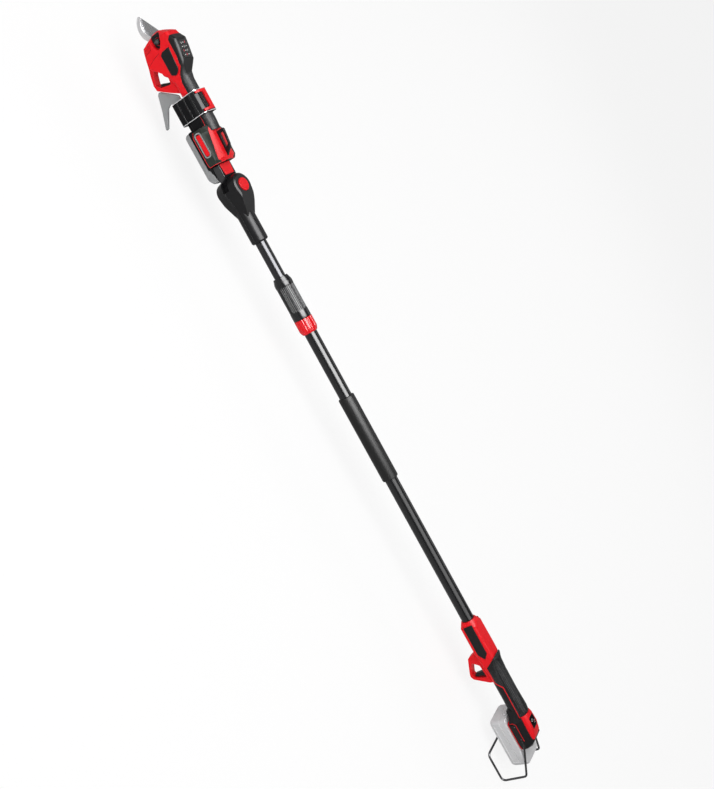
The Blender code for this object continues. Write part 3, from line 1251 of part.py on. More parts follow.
def cutting_blade():
    """Cutting blade with its drive sector, whose teeth mesh with the pinion."""
    pitch = MODULE * SECTOR_TEETH / 2
    step = 2 * math.pi / SECTOR_TEETH
    back, tip, belly = blade_outline()
    pts = [(x * MM, z * MM) for x, z in back + tip + belly]
    pts += [(3 * MM, -13.5 * MM), (-6 * MM, -12.5 * MM)]
    teeth = []
    for k in range(-1, 6):
        teeth.append([(r, a) for r, a in tooth(pitch, SECTOR_TEETH, TOWARDS_PINION - step * k)])
    sector = []
    for each in teeth:
        sector += [(r * math.cos(a), r * math.sin(a)) for r, a in each[::-1]]
    pts += sector
    pts += [(2 * MM, 14 * MM), (9 * MM, 12.5 * MM)]
    world = [(PIVOT.x + x, PIVOT.z + z) for x, z in pts]
    blade = prism("blade", world, -BLADE_T, -0.15 * MM)
    cut(blade, rod("hole", "Y", PIVOT, -20 * MM, 20 * MM, PIVOT_R + 0.15 * MM, sides=24))
    bevel_edge(blade, belly, -0.15 * MM, -BLADE_T)
    on_axis(tidy(blade, "cutting_blade", "steel"), PIVOT)


def bevel_edge(blade, edge, flat, back):
    """Grind a bevel along an edge by drawing in the points of one face."""
    mesh = blade.data
    rim = [Vector((PIVOT.x + x * MM, PIVOT.z + z * MM)) for x, z in edge]
    mid = Vector((PIVOT.x + 39 * MM, PIVOT.z + 10 * MM))
    for v in mesh.vertices:
        at = Vector((v.co.x, v.co.z))
        near = min((at - p).length for p in rim)
        if near < 0.05 * MM and abs(v.co.y - back) < 0.05 * MM:
            inward = (mid - at).normalized()
            v.co.x += inward.x * 4.5 * MM
            v.co.z += inward.y * 4.5 * MM


def counter_blade():
    """Fixed hooked blade: a crescent whose hollow faces the cutting blade."""
    outer = arc(38, -5, 33, -148, -31, 12)
    inner = arc(40, 4, 30, -46, -150, 10)
    pts = [(-9, -11)] + outer + [(BLADE_REACH / MM, -21.0)] + inner + [(12, 9), (2, 13), (-9, 10)]
    world = [(PIVOT.x + x * MM, PIVOT.z + z * MM) for x, z in pts]
    blade = prism("counter", world, 0.15 * MM, BLADE_T)
    cut(blade, rod("hole", "Y", PIVOT, -20 * MM, 20 * MM, PIVOT_R + 0.15 * MM, sides=24))
    tidy(blade, "counter_blade", "steel")


def pivot_hardware():
    """Pivot bolt through both housing halves and its hexagon nut."""
    profile = [(-13.5 * MM, 0), (-13.5 * MM, 7 * MM), (-10.3 * MM, 7.6 * MM), (-10.3 * MM, PIVOT_R),
               (15 * MM, PIVOT_R), (15 * MM, 0)]
    bolt = turned("pivot_bolt", profile, "steel", "Y", PIVOT, 24)
    tidy(bolt, "pivot_bolt", "steel")
    hexagon = [(PIVOT.x + 7.5 * MM * math.cos(math.pi * k / 3),
                PIVOT.z + 7.5 * MM * math.sin(math.pi * k / 3))
               for k in range(6)]
    nut = prism("nut", hexagon, 10.3 * MM, 15.8 * MM)
    cut(nut, rod("hole", "Y", PIVOT, 0, 30 * MM, PIVOT_R + 0.1 * MM, sides=24))
    tidy(nut, "pivot_nut", "steel")


def drive():
    """Motor and right-angle gearbox between the housing halves."""
    rear, front, radius = MOTOR_FRONT - MOTOR_LENGTH, MOTOR_FRONT, MOTOR_R
    turned("motor", [(rear, 0), (rear, 5 * MM), (rear + 3 * MM, 5 * MM), (rear + 3 * MM, radius - 1 * MM),
                     (rear + 4 * MM, radius), (front - 1 * MM, radius), (front, radius - 1 * MM), (front, 0)],
           "steel", "X", (0, 0, MOTOR_Z))
    x0, x1, y0, y1, z0, z1 = GEARBOX
    case = box("gearbox", x0, x1, y0, y1, z0, z1, bevel=2 * MM)
    cut(case, rod("shaft", "Y", PINION, -20 * MM, 9 * MM, 3.5 * MM, sides=16))
    tidy(case, "gearbox", "grey")
    h = HINGE_X
    box("shears_switch", h + 231 * MM, h + 242 * MM, -6 * MM, 6 * MM, 14 * MM, 28 * MM, "black")


def shears_controls():
    """Trigger and small safety lever of the shears, each with its moulded pivot stubs."""
    body = prism("trigger", rounded(local(SHEARS_TRIGGER_OUTLINE), 2.2 * MM), -TRIGGER_HALF_W, TRIGGER_HALF_W)
    join(body, stubs(SHEARS_TRIGGER_PIVOT, STUB_REACH, PIN_R))
    on_axis(tidy(body, "shears_trigger", "black"), SHEARS_TRIGGER_PIVOT)
    lever = prism("lever", rounded(local(LEVER_OUTLINE), 1.6 * MM), -4 * MM, 4 * MM)
    join(lever, stubs(LEVER_PIVOT, LEVER_REACH, LEVER_PIN_R))
    on_axis(tidy(lever, "safety_lever", "black"), LEVER_PIVOT)


def shears():
    shears_foot()
    shears_shells()
    shears_cover()
    for name, sign in (("shears_panel_left", 1), ("shears_panel_right", -1)):
        side_panel(name, SHEARS_PANEL, sign, HEAD_HALF_W, key="black", shift=HINGE_X)
    shears_display("shears_display", key="black")
    drive()
    pinion()
    cutting_blade()
    counter_blade()
    pivot_hardware()
    shears_controls()


# Cradle under the shears' grip

def ring_outline(half_w, low, high, radius):
    pts = [(-half_w, low), (half_w, low), (half_w, high), (-half_w, high)]
    return rounded(pts, radius, 5)


def saddle_blank(name, grow=0.0):
    """Trough under the grip with the round beam below it."""
    g = grow
    w = SGRIP_HALF_W + GAP + SADDLE_WALL + g
    trough = prism(name, ring_outline(w, -4 * MM - g, 60 * MM, 14 * MM), HINGE_X + SADDLE_X0 - g,
                   HINGE_X + SADDLE_X1 + g, "X")
    beam = prism("beam", ring_outline(13 * MM + g, -15 * MM - g, 8 * MM, 10 * MM),
                 HINGE_X + ADAPTOR_LENGTH + GAP - g, HINGE_X + SADDLE_X1 + 2 * MM + g, "X")
    join(trough, beam)
    cut(trough, box("top", HINGE_X + 100 * MM, HINGE_X + 260 * MM, -60 * MM, 60 * MM, BAND_SPLIT + g,
                    90 * MM))
    return trough


HOOK_OUTLINE = [(160, -4), (226, -3), (231, -8), (254, -42), (255, -46), (251, -51), (217, -63), (183, -78),
                (181, -76), (182, -71), (216, -45), (221, -34), (217, -26), (208, -21), (196, -13),
                (160, -13)]


def hook_outline():
    radii = [0, 4e-3, 2e-3, 3e-3, 3e-3, 4e-3, 8e-3, 1e-3, 1e-3, 1e-3, 4e-3, 6e-3, 4e-3, 4e-3, 4e-3, 0]
    return rounded(local(HOOK_OUTLINE), radii)


def cradle():
    """Saddle with a raised collar, band over the grip, band latch and pull hook."""
    h = HINGE_X
    saddle = saddle_blank("saddle")
    ring = ring_outline(BAND_HALF_W, RING_LOW, BAND_HIGH, RING_ROUND)
    collar = prism("collar", ring, h + BAND_X0, h + BAND_X1, "X")
    cut(collar, box("top", h + 100 * MM, h + 260 * MM, -60 * MM, 60 * MM, BAND_SPLIT - GAP, 90 * MM))
    join(saddle, collar)
    cut(saddle, grip_blank("grip", GAP))
    cut(saddle, prism("slot", hook_outline(), -HOOK_T / 2 - GAP, HOOK_T / 2 + GAP))
    cut(saddle, box("adaptor", h + 100 * MM, h + ADAPTOR_LENGTH + GAP, -60 * MM, 60 * MM, -60 * MM,
                    ADAPTOR_HIGH + GAP))
    tidy(saddle, "cradle_saddle", "black")
    hook = prism("hook", hook_outline(), -HOOK_T / 2, HOOK_T / 2)
    tidy(hook, "pull_hook", "grey")
    band = prism("band", ring, h + BAND_X0, h + BAND_X1, "X")
    cut(band, box("low", h + 100 * MM, h + 260 * MM, -60 * MM, 60 * MM, -60 * MM, BAND_SPLIT + GAP))
    inside = ring_outline(BAND_HALF_W - 4 * MM, -16 * MM, BAND_HIGH - 3.4 * MM, 13 * MM)
    cut(band, prism("inside", inside, h + BAND_X0 - 5 * MM, h + BAND_X1 + 5 * MM, "X"))
    ridge = box("ridge", h + BAND_X0 + 9 * MM, h + BAND_X1 - 9 * MM, -7 * MM, 15 * MM, 53 * MM, 57.5 * MM)
    join(band, ridge)
    for y in (6.2 * MM, 10 * MM):
        cut(band, box("groove", h + BAND_X0, h + BAND_X1, y, y + 1.2 * MM, 56 * MM, 60 * MM))
    cut(band, latch_arms("arms", SLIDE_GAP))
    on_axis(tidy(band, "clamp_band", "black"), BAND_HINGE)
    latch = latch_arms("latch")
    on_axis(tidy(latch, "clamp_latch", "red"), LATCH_HINGE)


BAND_HINGE = Vector((HINGE_X + 188 * MM, -BAND_HALF_W, BAND_SPLIT))
LATCH_HINGE = Vector((HINGE_X + 186 * MM, 17.5 * MM, 51.5 * MM))


def latch_arms(name, grow=0.0):
    """Red bow of the band's latch: a cross bar on top with an arm at each end."""
    h, g = HINGE_X, grow
    x0, x1 = h + BAND_X0 + 2.5 * MM, h + BAND_X1 - 2.5 * MM
    side = [(-9 * MM, 55.8 * MM), (7 * MM, 55.8 * MM), (13 * MM, 53.4 * MM), (17 * MM, 51.2 * MM),
            (18.4 * MM, 50.6 * MM), (19.8 * MM, 54.4 * MM), (12 * MM, 58.6 * MM), (3 * MM, 60.2 * MM),
            (-8 * MM, 60.5 * MM)]
    if g:
        side = [(-9 * MM - g, 55.8 * MM - g), (7 * MM, 55.8 * MM - g), (13 * MM, 53.4 * MM - g),
                (16.2 * MM, 51 * MM - g), (16.8 * MM, 49.6 * MM), (20.6 * MM, 49.6 * MM),
                (23 * MM, 51.5 * MM), (29 * MM, 54 * MM), (12 * MM, 67 * MM), (-9 * MM - g, 67 * MM)]
    bow = prism(name, side if g else rounded(side, 1.2 * MM), x0 - g, x1 + g, "X")
    room = box("room", x0 + 5 * MM + g, x1 - 5 * MM - g, 3 * MM + g, 40 * MM, 40 * MM, 80 * MM)
    cut(bow, room)
    return bow


def place_on_stand():
    """Shift the tool so that the origin is under its middle at the stand's underside."""
    for obj in bpy.data.objects:
        if obj.parent is None:
            obj.location = obj.location + SHIFT


for old in list(bpy.data.objects):
    bpy.data.objects.remove(old, do_unlink=True)
handle()
battery_pack()
pole()
yoke()
tilt_button()
adaptor()
shears()
cradle()
place_on_stand()
count = sum(1 for o in bpy.data.objects if o.type == "MESH")
faces = sum(len(o.data.loop_triangles) or sum(len(p.vertices) - 2 for p in o.data.polygons)
            for o in bpy.data.objects)
print("pieces", count, "triangles", faces)
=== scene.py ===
# %% [markdown]
# A cordless pole pruner in a white studio.
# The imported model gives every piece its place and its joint. This lesson dresses that model: it loads
# the frame, sets the camera and the light, builds the finishes as shader nodes, and then adds the
# surfaces that a CAD solid is too plain for.

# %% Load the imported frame
import json
import math

import bmesh
import bpy
import numpy as np
from mathutils import Matrix, Vector


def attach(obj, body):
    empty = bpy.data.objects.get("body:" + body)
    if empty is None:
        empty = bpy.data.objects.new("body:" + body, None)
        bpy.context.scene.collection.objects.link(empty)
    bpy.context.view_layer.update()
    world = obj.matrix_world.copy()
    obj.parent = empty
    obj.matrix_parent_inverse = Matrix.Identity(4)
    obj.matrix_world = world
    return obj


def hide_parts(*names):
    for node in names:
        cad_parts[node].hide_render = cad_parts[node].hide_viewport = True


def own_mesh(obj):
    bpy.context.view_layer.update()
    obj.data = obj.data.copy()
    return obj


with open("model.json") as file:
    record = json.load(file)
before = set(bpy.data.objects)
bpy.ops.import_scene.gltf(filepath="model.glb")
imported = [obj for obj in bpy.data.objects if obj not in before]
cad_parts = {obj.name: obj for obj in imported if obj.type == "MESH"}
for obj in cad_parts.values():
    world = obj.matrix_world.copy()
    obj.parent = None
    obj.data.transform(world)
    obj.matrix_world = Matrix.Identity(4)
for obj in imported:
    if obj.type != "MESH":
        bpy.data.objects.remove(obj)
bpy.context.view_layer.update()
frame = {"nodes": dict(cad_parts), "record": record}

MM = 0.001
scene = bpy.context.scene
nodes = frame["nodes"]
record = frame["record"]
body_of_node = {name: body for body, names in record["behaviour"]["bodies"].items() for name in names}
slot_of_node = {row["node"]: row["material_slot"] for row in record["subparts"]}
SIDES = ((1, "left"), (-1, "right"))  # the sign of Y and the name of each side

# %% [markdown]
# The camera stands on the tool's left, above it and ahead of its middle, and is rolled so that the pole
# crosses the picture from corner to corner. A look direction and a roll say that in three numbers,
# which is easier to read than a rotation matrix.

# %% Camera
CAMERA_AT = Vector((0.41494, 1.75089, 1.44609))
LOOK = Vector((-0.16504, -0.79101, -0.58913)).normalized()
ROLL = math.radians(68.31)
LENS_MM = 45.36
SENSOR_MM = 36.0

camera_data = bpy.data.cameras.new("camera")
camera_data.lens = LENS_MM
camera_data.sensor_width = SENSOR_MM
camera = bpy.data.objects.new("camera", camera_data)
scene.collection.objects.link(camera)
level_right = LOOK.cross(Vector((0, 0, 1))).normalized()
level_up = level_right.cross(LOOK)
turn = Matrix((level_right, level_up, -LOOK)).transposed().to_4x4()
camera.matrix_world = Matrix.Translation(CAMERA_AT) @ turn @ Matrix.Rotation(ROLL, 4, "Z")
scene.camera = camera
scene.view_settings.view_transform = "Standard"
print("camera:", tuple(round(v, 3) for v in camera.location), "roll", round(math.degrees(ROLL), 1))

# %% [markdown]
# A shader is a graph. Three helpers keep the graphs short: one adds a node and sets its values, one
# joins two sockets, and one starts a node group with named inputs and outputs. A group holds an effect
# that several finishes share, so that each finish only states its own numbers.


# %% Helpers for shader graphs
def add_node(tree, kind, **values):
    """Adds a node and sets its properties, or its input sockets, by name."""
    node = tree.nodes.new(kind)
    for key, value in values.items():
        if hasattr(node, key):
            setattr(node, key, value)
        else:
            node.inputs[key.replace("_", " ")].default_value = value
    return node


def wire(tree, source, target):
    """Joins an output socket to an input socket."""
    tree.links.new(source, target)


def math_node(tree, operation, *values, clamp=False):
    """A Math node fed by numbers or by sockets; returns its output."""
    node = add_node(tree, "ShaderNodeMath", operation=operation, use_clamp=clamp)
    for socket, value in zip(node.inputs, values):
        if isinstance(value, (int, float)):
            socket.default_value = value
        else:
            wire(tree, value, socket)
    return node.outputs[0]


def start_group(name, inputs, outputs):
    """A node group with float, colour or vector sockets; returns the tree and its two end nodes."""
    tree = bpy.data.node_groups.new(name, "ShaderNodeTree")
    kinds = {"float": "NodeSocketFloat", "colour": "NodeSocketColor", "vector": "NodeSocketVector"}
    for label, kind, value in inputs:
        socket = tree.interface.new_socket(name=label, in_out="INPUT", socket_type=kinds[kind])
        socket.default_value = value
    for label, kind in outputs:
        tree.interface.new_socket(name=label, in_out="OUTPUT", socket_type=kinds[kind])
    return tree, tree.nodes.new("NodeGroupInput"), tree.nodes.new("NodeGroupOutput")


# %% [markdown]
# A studio has a white floor, dim walls and large lamps. Eyes see the floor as white, so the floor's
# material answers camera, glossy and transmission rays with a plain light, mixed with a matt surface
# that keeps the shadow. Gloss gets less of it, so that black pieces stay black. Everything else sees
# the matt surface, so the floor throws no extra light on the object.

# %% Floor
FLOOR_SIDE = 30.0
FLOOR_TONE = 0.92
WHITE_SHARE = 0.82  # how much of what is seen is plain light; the rest is matt and takes the shadow
GLOSS_SEES = 0.42  # the plain light's strength in a reflection


def floor_material():
    """White to the eye, dimmer to gloss, matt to all other rays, with its shadow kept."""
    mat = bpy.data.materials.new("studio_floor")
    mat.use_nodes = True
    tree = mat.node_tree
    tree.nodes.clear()
    rays = add_node(tree, "ShaderNodeLightPath")
    seen = math_node(tree, "MAXIMUM", rays.outputs["Is Camera Ray"], rays.outputs["Is Glossy Ray"])
    any_seen = math_node(tree, "MAXIMUM", seen, rays.outputs["Is Transmission Ray"])
    share = math_node(tree, "MULTIPLY", any_seen, WHITE_SHARE)
    matt = add_node(tree, "ShaderNodeBsdfDiffuse", Color=(FLOOR_TONE, FLOOR_TONE, FLOOR_TONE, 1))
    white = add_node(tree, "ShaderNodeEmission", Color=(1, 1, 1, 1))
    by_eye = math_node(tree, "MULTIPLY_ADD", rays.outputs["Is Camera Ray"], 1 - GLOSS_SEES, GLOSS_SEES)
    wire(tree, by_eye, white.inputs["Strength"])
    mix = add_node(tree, "ShaderNodeMixShader")
    wire(tree, share, mix.inputs[0])
    wire(tree, matt.outputs[0], mix.inputs[1])
    wire(tree, white.outputs[0], mix.inputs[2])
    out = add_node(tree, "ShaderNodeOutputMaterial")
    wire(tree, mix.outputs[0], out.inputs["Surface"])
    return mat


def floor_plane():
    """One square face at the height that the stand rests on."""
    half = FLOOR_SIDE / 2
    corners = [(-half, -half, 0), (half, -half, 0), (half, half, 0), (-half, half, 0)]
    mesh = bpy.data.meshes.new("floor")
    mesh.from_pydata(corners, [], [(0, 1, 2, 3)])
    floor = bpy.data.objects.new("floor", mesh)
    scene.collection.objects.link(floor)
    mesh.materials.append(floor_material())


floor_plane()

# %% [markdown]
# The world is the rest of the room. It is white to the camera, and gloss sees it white near the horizon
# and dark overhead, as between a white wall and an unlit ceiling. The dark ceiling is what makes the
# long highlights on the tubes read as highlights.

# %% World
ROOM_LIGHT = 0.42  # strength for matt surfaces
WALL_SEEN = 0.5  # strength in a reflection near the horizon
CEILING_SEEN = 0.03  # and overhead
WALL_TOP, CEILING_FROM = 0.02, 0.4  # the direction's Z at which the one gives way to the other


def world_graph():
    """Even light for matt surfaces, white for the camera, a wall-to-ceiling ramp for gloss."""
    world = bpy.data.worlds.new("studio")
    scene.world = world
    world.use_nodes = True
    tree = world.node_tree
    tree.nodes.clear()
    place = add_node(tree, "ShaderNodeTexCoord")
    parts = add_node(tree, "ShaderNodeSeparateXYZ")
    wire(tree, place.outputs["Generated"], parts.inputs[0])
    ramp = add_node(tree, "ShaderNodeMapRange", interpolation_type="SMOOTHSTEP", From_Min=WALL_TOP,
                    From_Max=CEILING_FROM, To_Min=WALL_SEEN, To_Max=CEILING_SEEN)
    wire(tree, parts.outputs["Z"], ramp.inputs["Value"])
    rays = add_node(tree, "ShaderNodeLightPath")
    gloss = add_node(tree, "ShaderNodeMix", data_type="FLOAT")
    gloss_on = math_node(tree, "MAXIMUM", rays.outputs["Is Glossy Ray"],
                         rays.outputs["Is Transmission Ray"])
    wire(tree, gloss_on, gloss.inputs["Factor"])
    gloss.inputs["A"].default_value = ROOM_LIGHT
    wire(tree, ramp.outputs["Result"], gloss.inputs["B"])
    eye = add_node(tree, "ShaderNodeMix", data_type="FLOAT")
    wire(tree, rays.outputs["Is Camera Ray"], eye.inputs["Factor"])
    wire(tree, gloss.outputs["Result"], eye.inputs["A"])
    eye.inputs["B"].default_value = 1.0
    back = add_node(tree, "ShaderNodeBackground", Color=(1, 1, 1, 1))
    wire(tree, eye.outputs["Result"], back.inputs["Strength"])
    out = add_node(tree, "ShaderNodeOutputWorld")
    wire(tree, back.outputs[0], out.inputs["Surface"])


world_graph()

# %% [markdown]
# Soft lamps shape the object. The long overhead one lies along the pole and leans towards the camera.
# Its light and its reflection are set apart: one lamp lights matt surfaces, and one of the same place
# but wider is seen only in gloss, where it is the broad streak that runs down every round piece. A
# fainter one carries the streak on towards the rear. A weaker lamp lights the flanks from the camera's
# side, and the last, from behind, draws the far edges.


# %% Lamps
def soft_lamp(name, at, aim, size, power, gloss=True, diffuse=True):
    """An area lamp at a point, aimed at another; size is its length along X and its other side."""
    data = bpy.data.lights.new(name, "AREA")
    data.shape = "RECTANGLE"
    data.size, data.size_y = size
    data.energy = power
    lamp = bpy.data.objects.new(name, data)
    scene.collection.objects.link(lamp)
    back = (Vector(at) - Vector(aim)).normalized()
    along = (Vector((1, 0, 0)) - back * back.x).normalized()
    turn = Matrix((along, back.cross(along), back)).transposed().to_4x4()
    lamp.matrix_world = Matrix.Translation(Vector(at)) @ turn
    lamp.visible_glossy = gloss
    lamp.visible_diffuse = diffuse


soft_lamp("overhead_lamp", (0.55, 0.85, 2.3), (0.1, 0.0, 0.1), (3.4, 1.5), 46, gloss=False)
soft_lamp("streak_lamp", (0.95, 0.75, 2.3), (0.5, 0.0, 0.1), (2.7, 2.3), 300, diffuse=False)
soft_lamp("fading_lamp", (-1.15, 0.75, 2.3), (-0.3, 0.0, 0.1), (1.7, 2.3), 36, diffuse=False)
soft_lamp("side_lamp", (0.2, 3.0, 0.9), (0.0, 0.0, 0.1), (3.0, 1.2), 18, gloss=False)
soft_lamp("rear_lamp", (-0.2, -2.2, 1.6), (0.0, 0.0, 0.1), (3.0, 0.8), 10)

# %% [markdown]
# Moulded plastic is never one flat colour. Its tool leaves a fine grain that scatters the gloss, and
# its tone drifts a little over a long part. Both come from noise read in object coordinates: a fine one
# gives the height, and both move the colour and the roughness, the broad one more. The grain can be
# stretched along the pole, which turns it into the brushing of drawn metal.


# %% Shared effect: moulded grain
BROAD_SHARE = 0.65  # of the tone, from the broad noise; the rest is the fine one's


def grain_group():
    """Fine noise as height; a blend of fine and broad noise as a small change of tone and gloss."""
    tree, given, result = start_group(
        "moulded_grain",
        [("Colour", "colour", (0.5, 0.5, 0.5, 1)), ("Grain Size", "float", 900.0),
         ("Drift", "float", 0.06), ("Roughness", "float", 0.4), ("Stretch", "vector", (1.0, 1.0, 1.0))],
        [("Colour", "colour"), ("Roughness", "float"), ("Height", "float")])
    place = add_node(tree, "ShaderNodeTexCoord")
    stretched = add_node(tree, "ShaderNodeVectorMath", operation="MULTIPLY")
    wire(tree, place.outputs["Object"], stretched.inputs[0])
    wire(tree, given.outputs["Stretch"], stretched.inputs[1])
    fine = add_node(tree, "ShaderNodeTexNoise", Detail=3.0, Roughness=0.6)
    broad = add_node(tree, "ShaderNodeTexNoise", Scale=11.0, Detail=2.0)
    wire(tree, stretched.outputs["Vector"], fine.inputs["Vector"])
    wire(tree, place.outputs["Object"], broad.inputs["Vector"])
    wire(tree, given.outputs["Grain Size"], fine.inputs["Scale"])
    fine_share = math_node(tree, "MULTIPLY", fine.outputs["Fac"], 1 - BROAD_SHARE)
    broad_share = math_node(tree, "MULTIPLY", broad.outputs["Fac"], BROAD_SHARE)
    both = math_node(tree, "ADD", broad_share, fine_share)
    drift = math_node(tree, "MULTIPLY", math_node(tree, "SUBTRACT", both, 0.5), given.outputs["Drift"])
    scaled = add_node(tree, "ShaderNodeVectorMath", operation="SCALE")
    wire(tree, given.outputs["Colour"], scaled.inputs[0])
    wire(tree, math_node(tree, "ADD", drift, 1.0), scaled.inputs["Scale"])
    wire(tree, scaled.outputs["Vector"], result.inputs["Colour"])
    rough = math_node(tree, "ADD", drift, given.outputs["Roughness"], clamp=True)
    wire(tree, rough, result.inputs["Roughness"])
    wire(tree, fine.outputs["Fac"], result.inputs["Height"])
    return tree


GRAIN = grain_group()

# %% [markdown]
# A soft grip is covered with small raised dots, so that a wet glove holds it. A Voronoi pattern with
# little randomness is nearly a lattice of such dots: the distance to the nearest point, cut off at the
# dot's radius, is the height. The same mask paints the dots lighter: a painted highlight on their tops.


# %% Shared effect: grip dots
DOT_EDGE, DOT_TOP = 0.42, 0.24  # a dot's rise starts and ends at these shares of the pitch
GRIP_FRONT = 0.82  # metres along X; ahead of it the rubber is smooth


def dots_group():
    """Height of round dots: one inside the dot's radius, nought outside it and ahead of the front."""
    tree, given, result = start_group(
        "grip_dots",
        [("Pitch", "float", 2.2), ("Height In", "float", 0.0), ("Front", "float", GRIP_FRONT)],
        [("Height", "float"), ("Mask", "float")])
    place = add_node(tree, "ShaderNodeTexCoord")
    cells = add_node(tree, "ShaderNodeTexVoronoi", Randomness=0.25)
    wire(tree, place.outputs["Object"], cells.inputs["Vector"])
    wire(tree, math_node(tree, "DIVIDE", 1000.0, given.outputs["Pitch"]), cells.inputs["Scale"])
    dot = add_node(tree, "ShaderNodeMapRange", interpolation_type="SMOOTHSTEP", From_Min=DOT_EDGE,
                   From_Max=DOT_TOP, To_Min=0.0, To_Max=1.0)
    wire(tree, cells.outputs["Distance"], dot.inputs["Value"])
    axes = add_node(tree, "ShaderNodeSeparateXYZ")
    wire(tree, place.outputs["Object"], axes.inputs[0])
    behind = math_node(tree, "LESS_THAN", axes.outputs["X"], given.outputs["Front"])
    mask = math_node(tree, "MULTIPLY", dot.outputs["Result"], behind)
    wire(tree, math_node(tree, "ADD", mask, given.outputs["Height In"]), result.inputs["Height"])
    wire(tree, mask, result.inputs["Mask"])
    return tree


DOTS = dots_group()

# %% [markdown]
# The Bevel node gives the normal that an edge would have if it were rounded. Where that normal leaves
# the real one there is an edge, and the difference is a mask with which a finish paints its edges in
# another tone: mostly a lighter one, a painted highlight, and on the frosted pack a painted glow, as if
# light came through where it is thin.


# %% Shared effect: edges
def edge_group():
    """The rounded normal, and a mask that is one where that normal leaves the true one, on edges."""
    tree, given, result = start_group("edges", [("Radius", "float", 0.0005), ("Gain", "float", 6.0)],
                                      [("Normal", "vector"), ("Mask", "float")])
    rounded_edge = add_node(tree, "ShaderNodeBevel", samples=4)
    wire(tree, given.outputs["Radius"], rounded_edge.inputs["Radius"])
    true_normal = add_node(tree, "ShaderNodeNewGeometry")
    both = add_node(tree, "ShaderNodeVectorMath", operation="DOT_PRODUCT")
    wire(tree, rounded_edge.outputs["Normal"], both.inputs[0])
    wire(tree, true_normal.outputs["Normal"], both.inputs[1])
    apart = math_node(tree, "SUBTRACT", 1.0, both.outputs["Value"])
    mask = math_node(tree, "MULTIPLY", apart, given.outputs["Gain"], clamp=True)
    wire(tree, mask, result.inputs["Mask"])
    wire(tree, rounded_edge.outputs["Normal"], result.inputs["Normal"])
    return tree


EDGES = edge_group()

# %% [markdown]
# Each finish is one Principled shader whose colour and roughness come from the grain. The rounded
# normal goes through the bump, so that every hard edge catches a thin line of light, and where a finish
# gives a rim colour the edge mask paints it over the edges: mostly a painted highlight.


# %% Finishes
GRAIN_BETWEEN_DOTS = 0.2  # share of the grain's height that stays on a dotted grip
# Tone of the dots' tops: a painted highlight, lighter than the rubber.
DOT_HIGHLIGHT_TONE = (0.05, 0.05, 0.052, 1)


def moulded(name, colour, roughness=0.4, grain=900.0, depth=0.03, drift=0.06, metallic=0.0, shine=0.5,
            edge=0.5, stretch=(1, 1, 1), dots=0.0, rim=None):
    """A Principled finish with the grain; depth and edge are in millimetres, dots is their pitch."""
    mat = bpy.data.materials.new(name)
    mat.use_nodes = True
    tree = mat.node_tree
    shader = tree.nodes["Principled BSDF"]
    shader.inputs["Metallic"].default_value = metallic
    shader.inputs["Specular IOR Level"].default_value = shine
    grain_node = add_node(tree, "ShaderNodeGroup", node_tree=GRAIN, Colour=(*colour, 1),
                          Grain_Size=grain, Drift=drift, Roughness=roughness, Stretch=stretch)
    height, tone = grain_node.outputs["Height"], grain_node.outputs["Colour"]
    if dots:
        dots_node = add_node(tree, "ShaderNodeGroup", node_tree=DOTS, Pitch=dots)
        low_grain = math_node(tree, "MULTIPLY", height, GRAIN_BETWEEN_DOTS)
        wire(tree, low_grain, dots_node.inputs["Height In"])
        height = dots_node.outputs["Height"]
        # The dot mask paints the dots in the lighter tone: a painted highlight.
        raised = add_node(tree, "ShaderNodeMix", data_type="RGBA")
        wire(tree, dots_node.outputs["Mask"], raised.inputs["Factor"])
        wire(tree, tone, raised.inputs["A"])
        raised.inputs["B"].default_value = DOT_HIGHLIGHT_TONE
        tone = raised.outputs["Result"]
    bump = add_node(tree, "ShaderNodeBump", Strength=1.0, Distance=depth * MM)
    wire(tree, height, bump.inputs["Height"])
    if edge:
        edges = add_node(tree, "ShaderNodeGroup", node_tree=EDGES, Radius=edge * MM)
        wire(tree, edges.outputs["Normal"], bump.inputs["Normal"])
    # The rim colour is painted over the edges: a painted highlight on most finishes, a darker edge on
    # the hook, and on the blades also the brighter steel of their honed edges.
    if rim:
        mixed = add_node(tree, "ShaderNodeMix", data_type="RGBA")
        wire(tree, edges.outputs["Mask"], mixed.inputs["Factor"])
        wire(tree, tone, mixed.inputs["A"])
        mixed.inputs["B"].default_value = (*rim, 1)
        tone = mixed.outputs["Result"]
    wire(tree, tone, shader.inputs["Base Color"])
    wire(tree, grain_node.outputs["Roughness"], shader.inputs["Roughness"])
    wire(tree, bump.outputs["Normal"], shader.inputs["Normal"])
    mat.diffuse_color = (*colour, 1)
    return mat


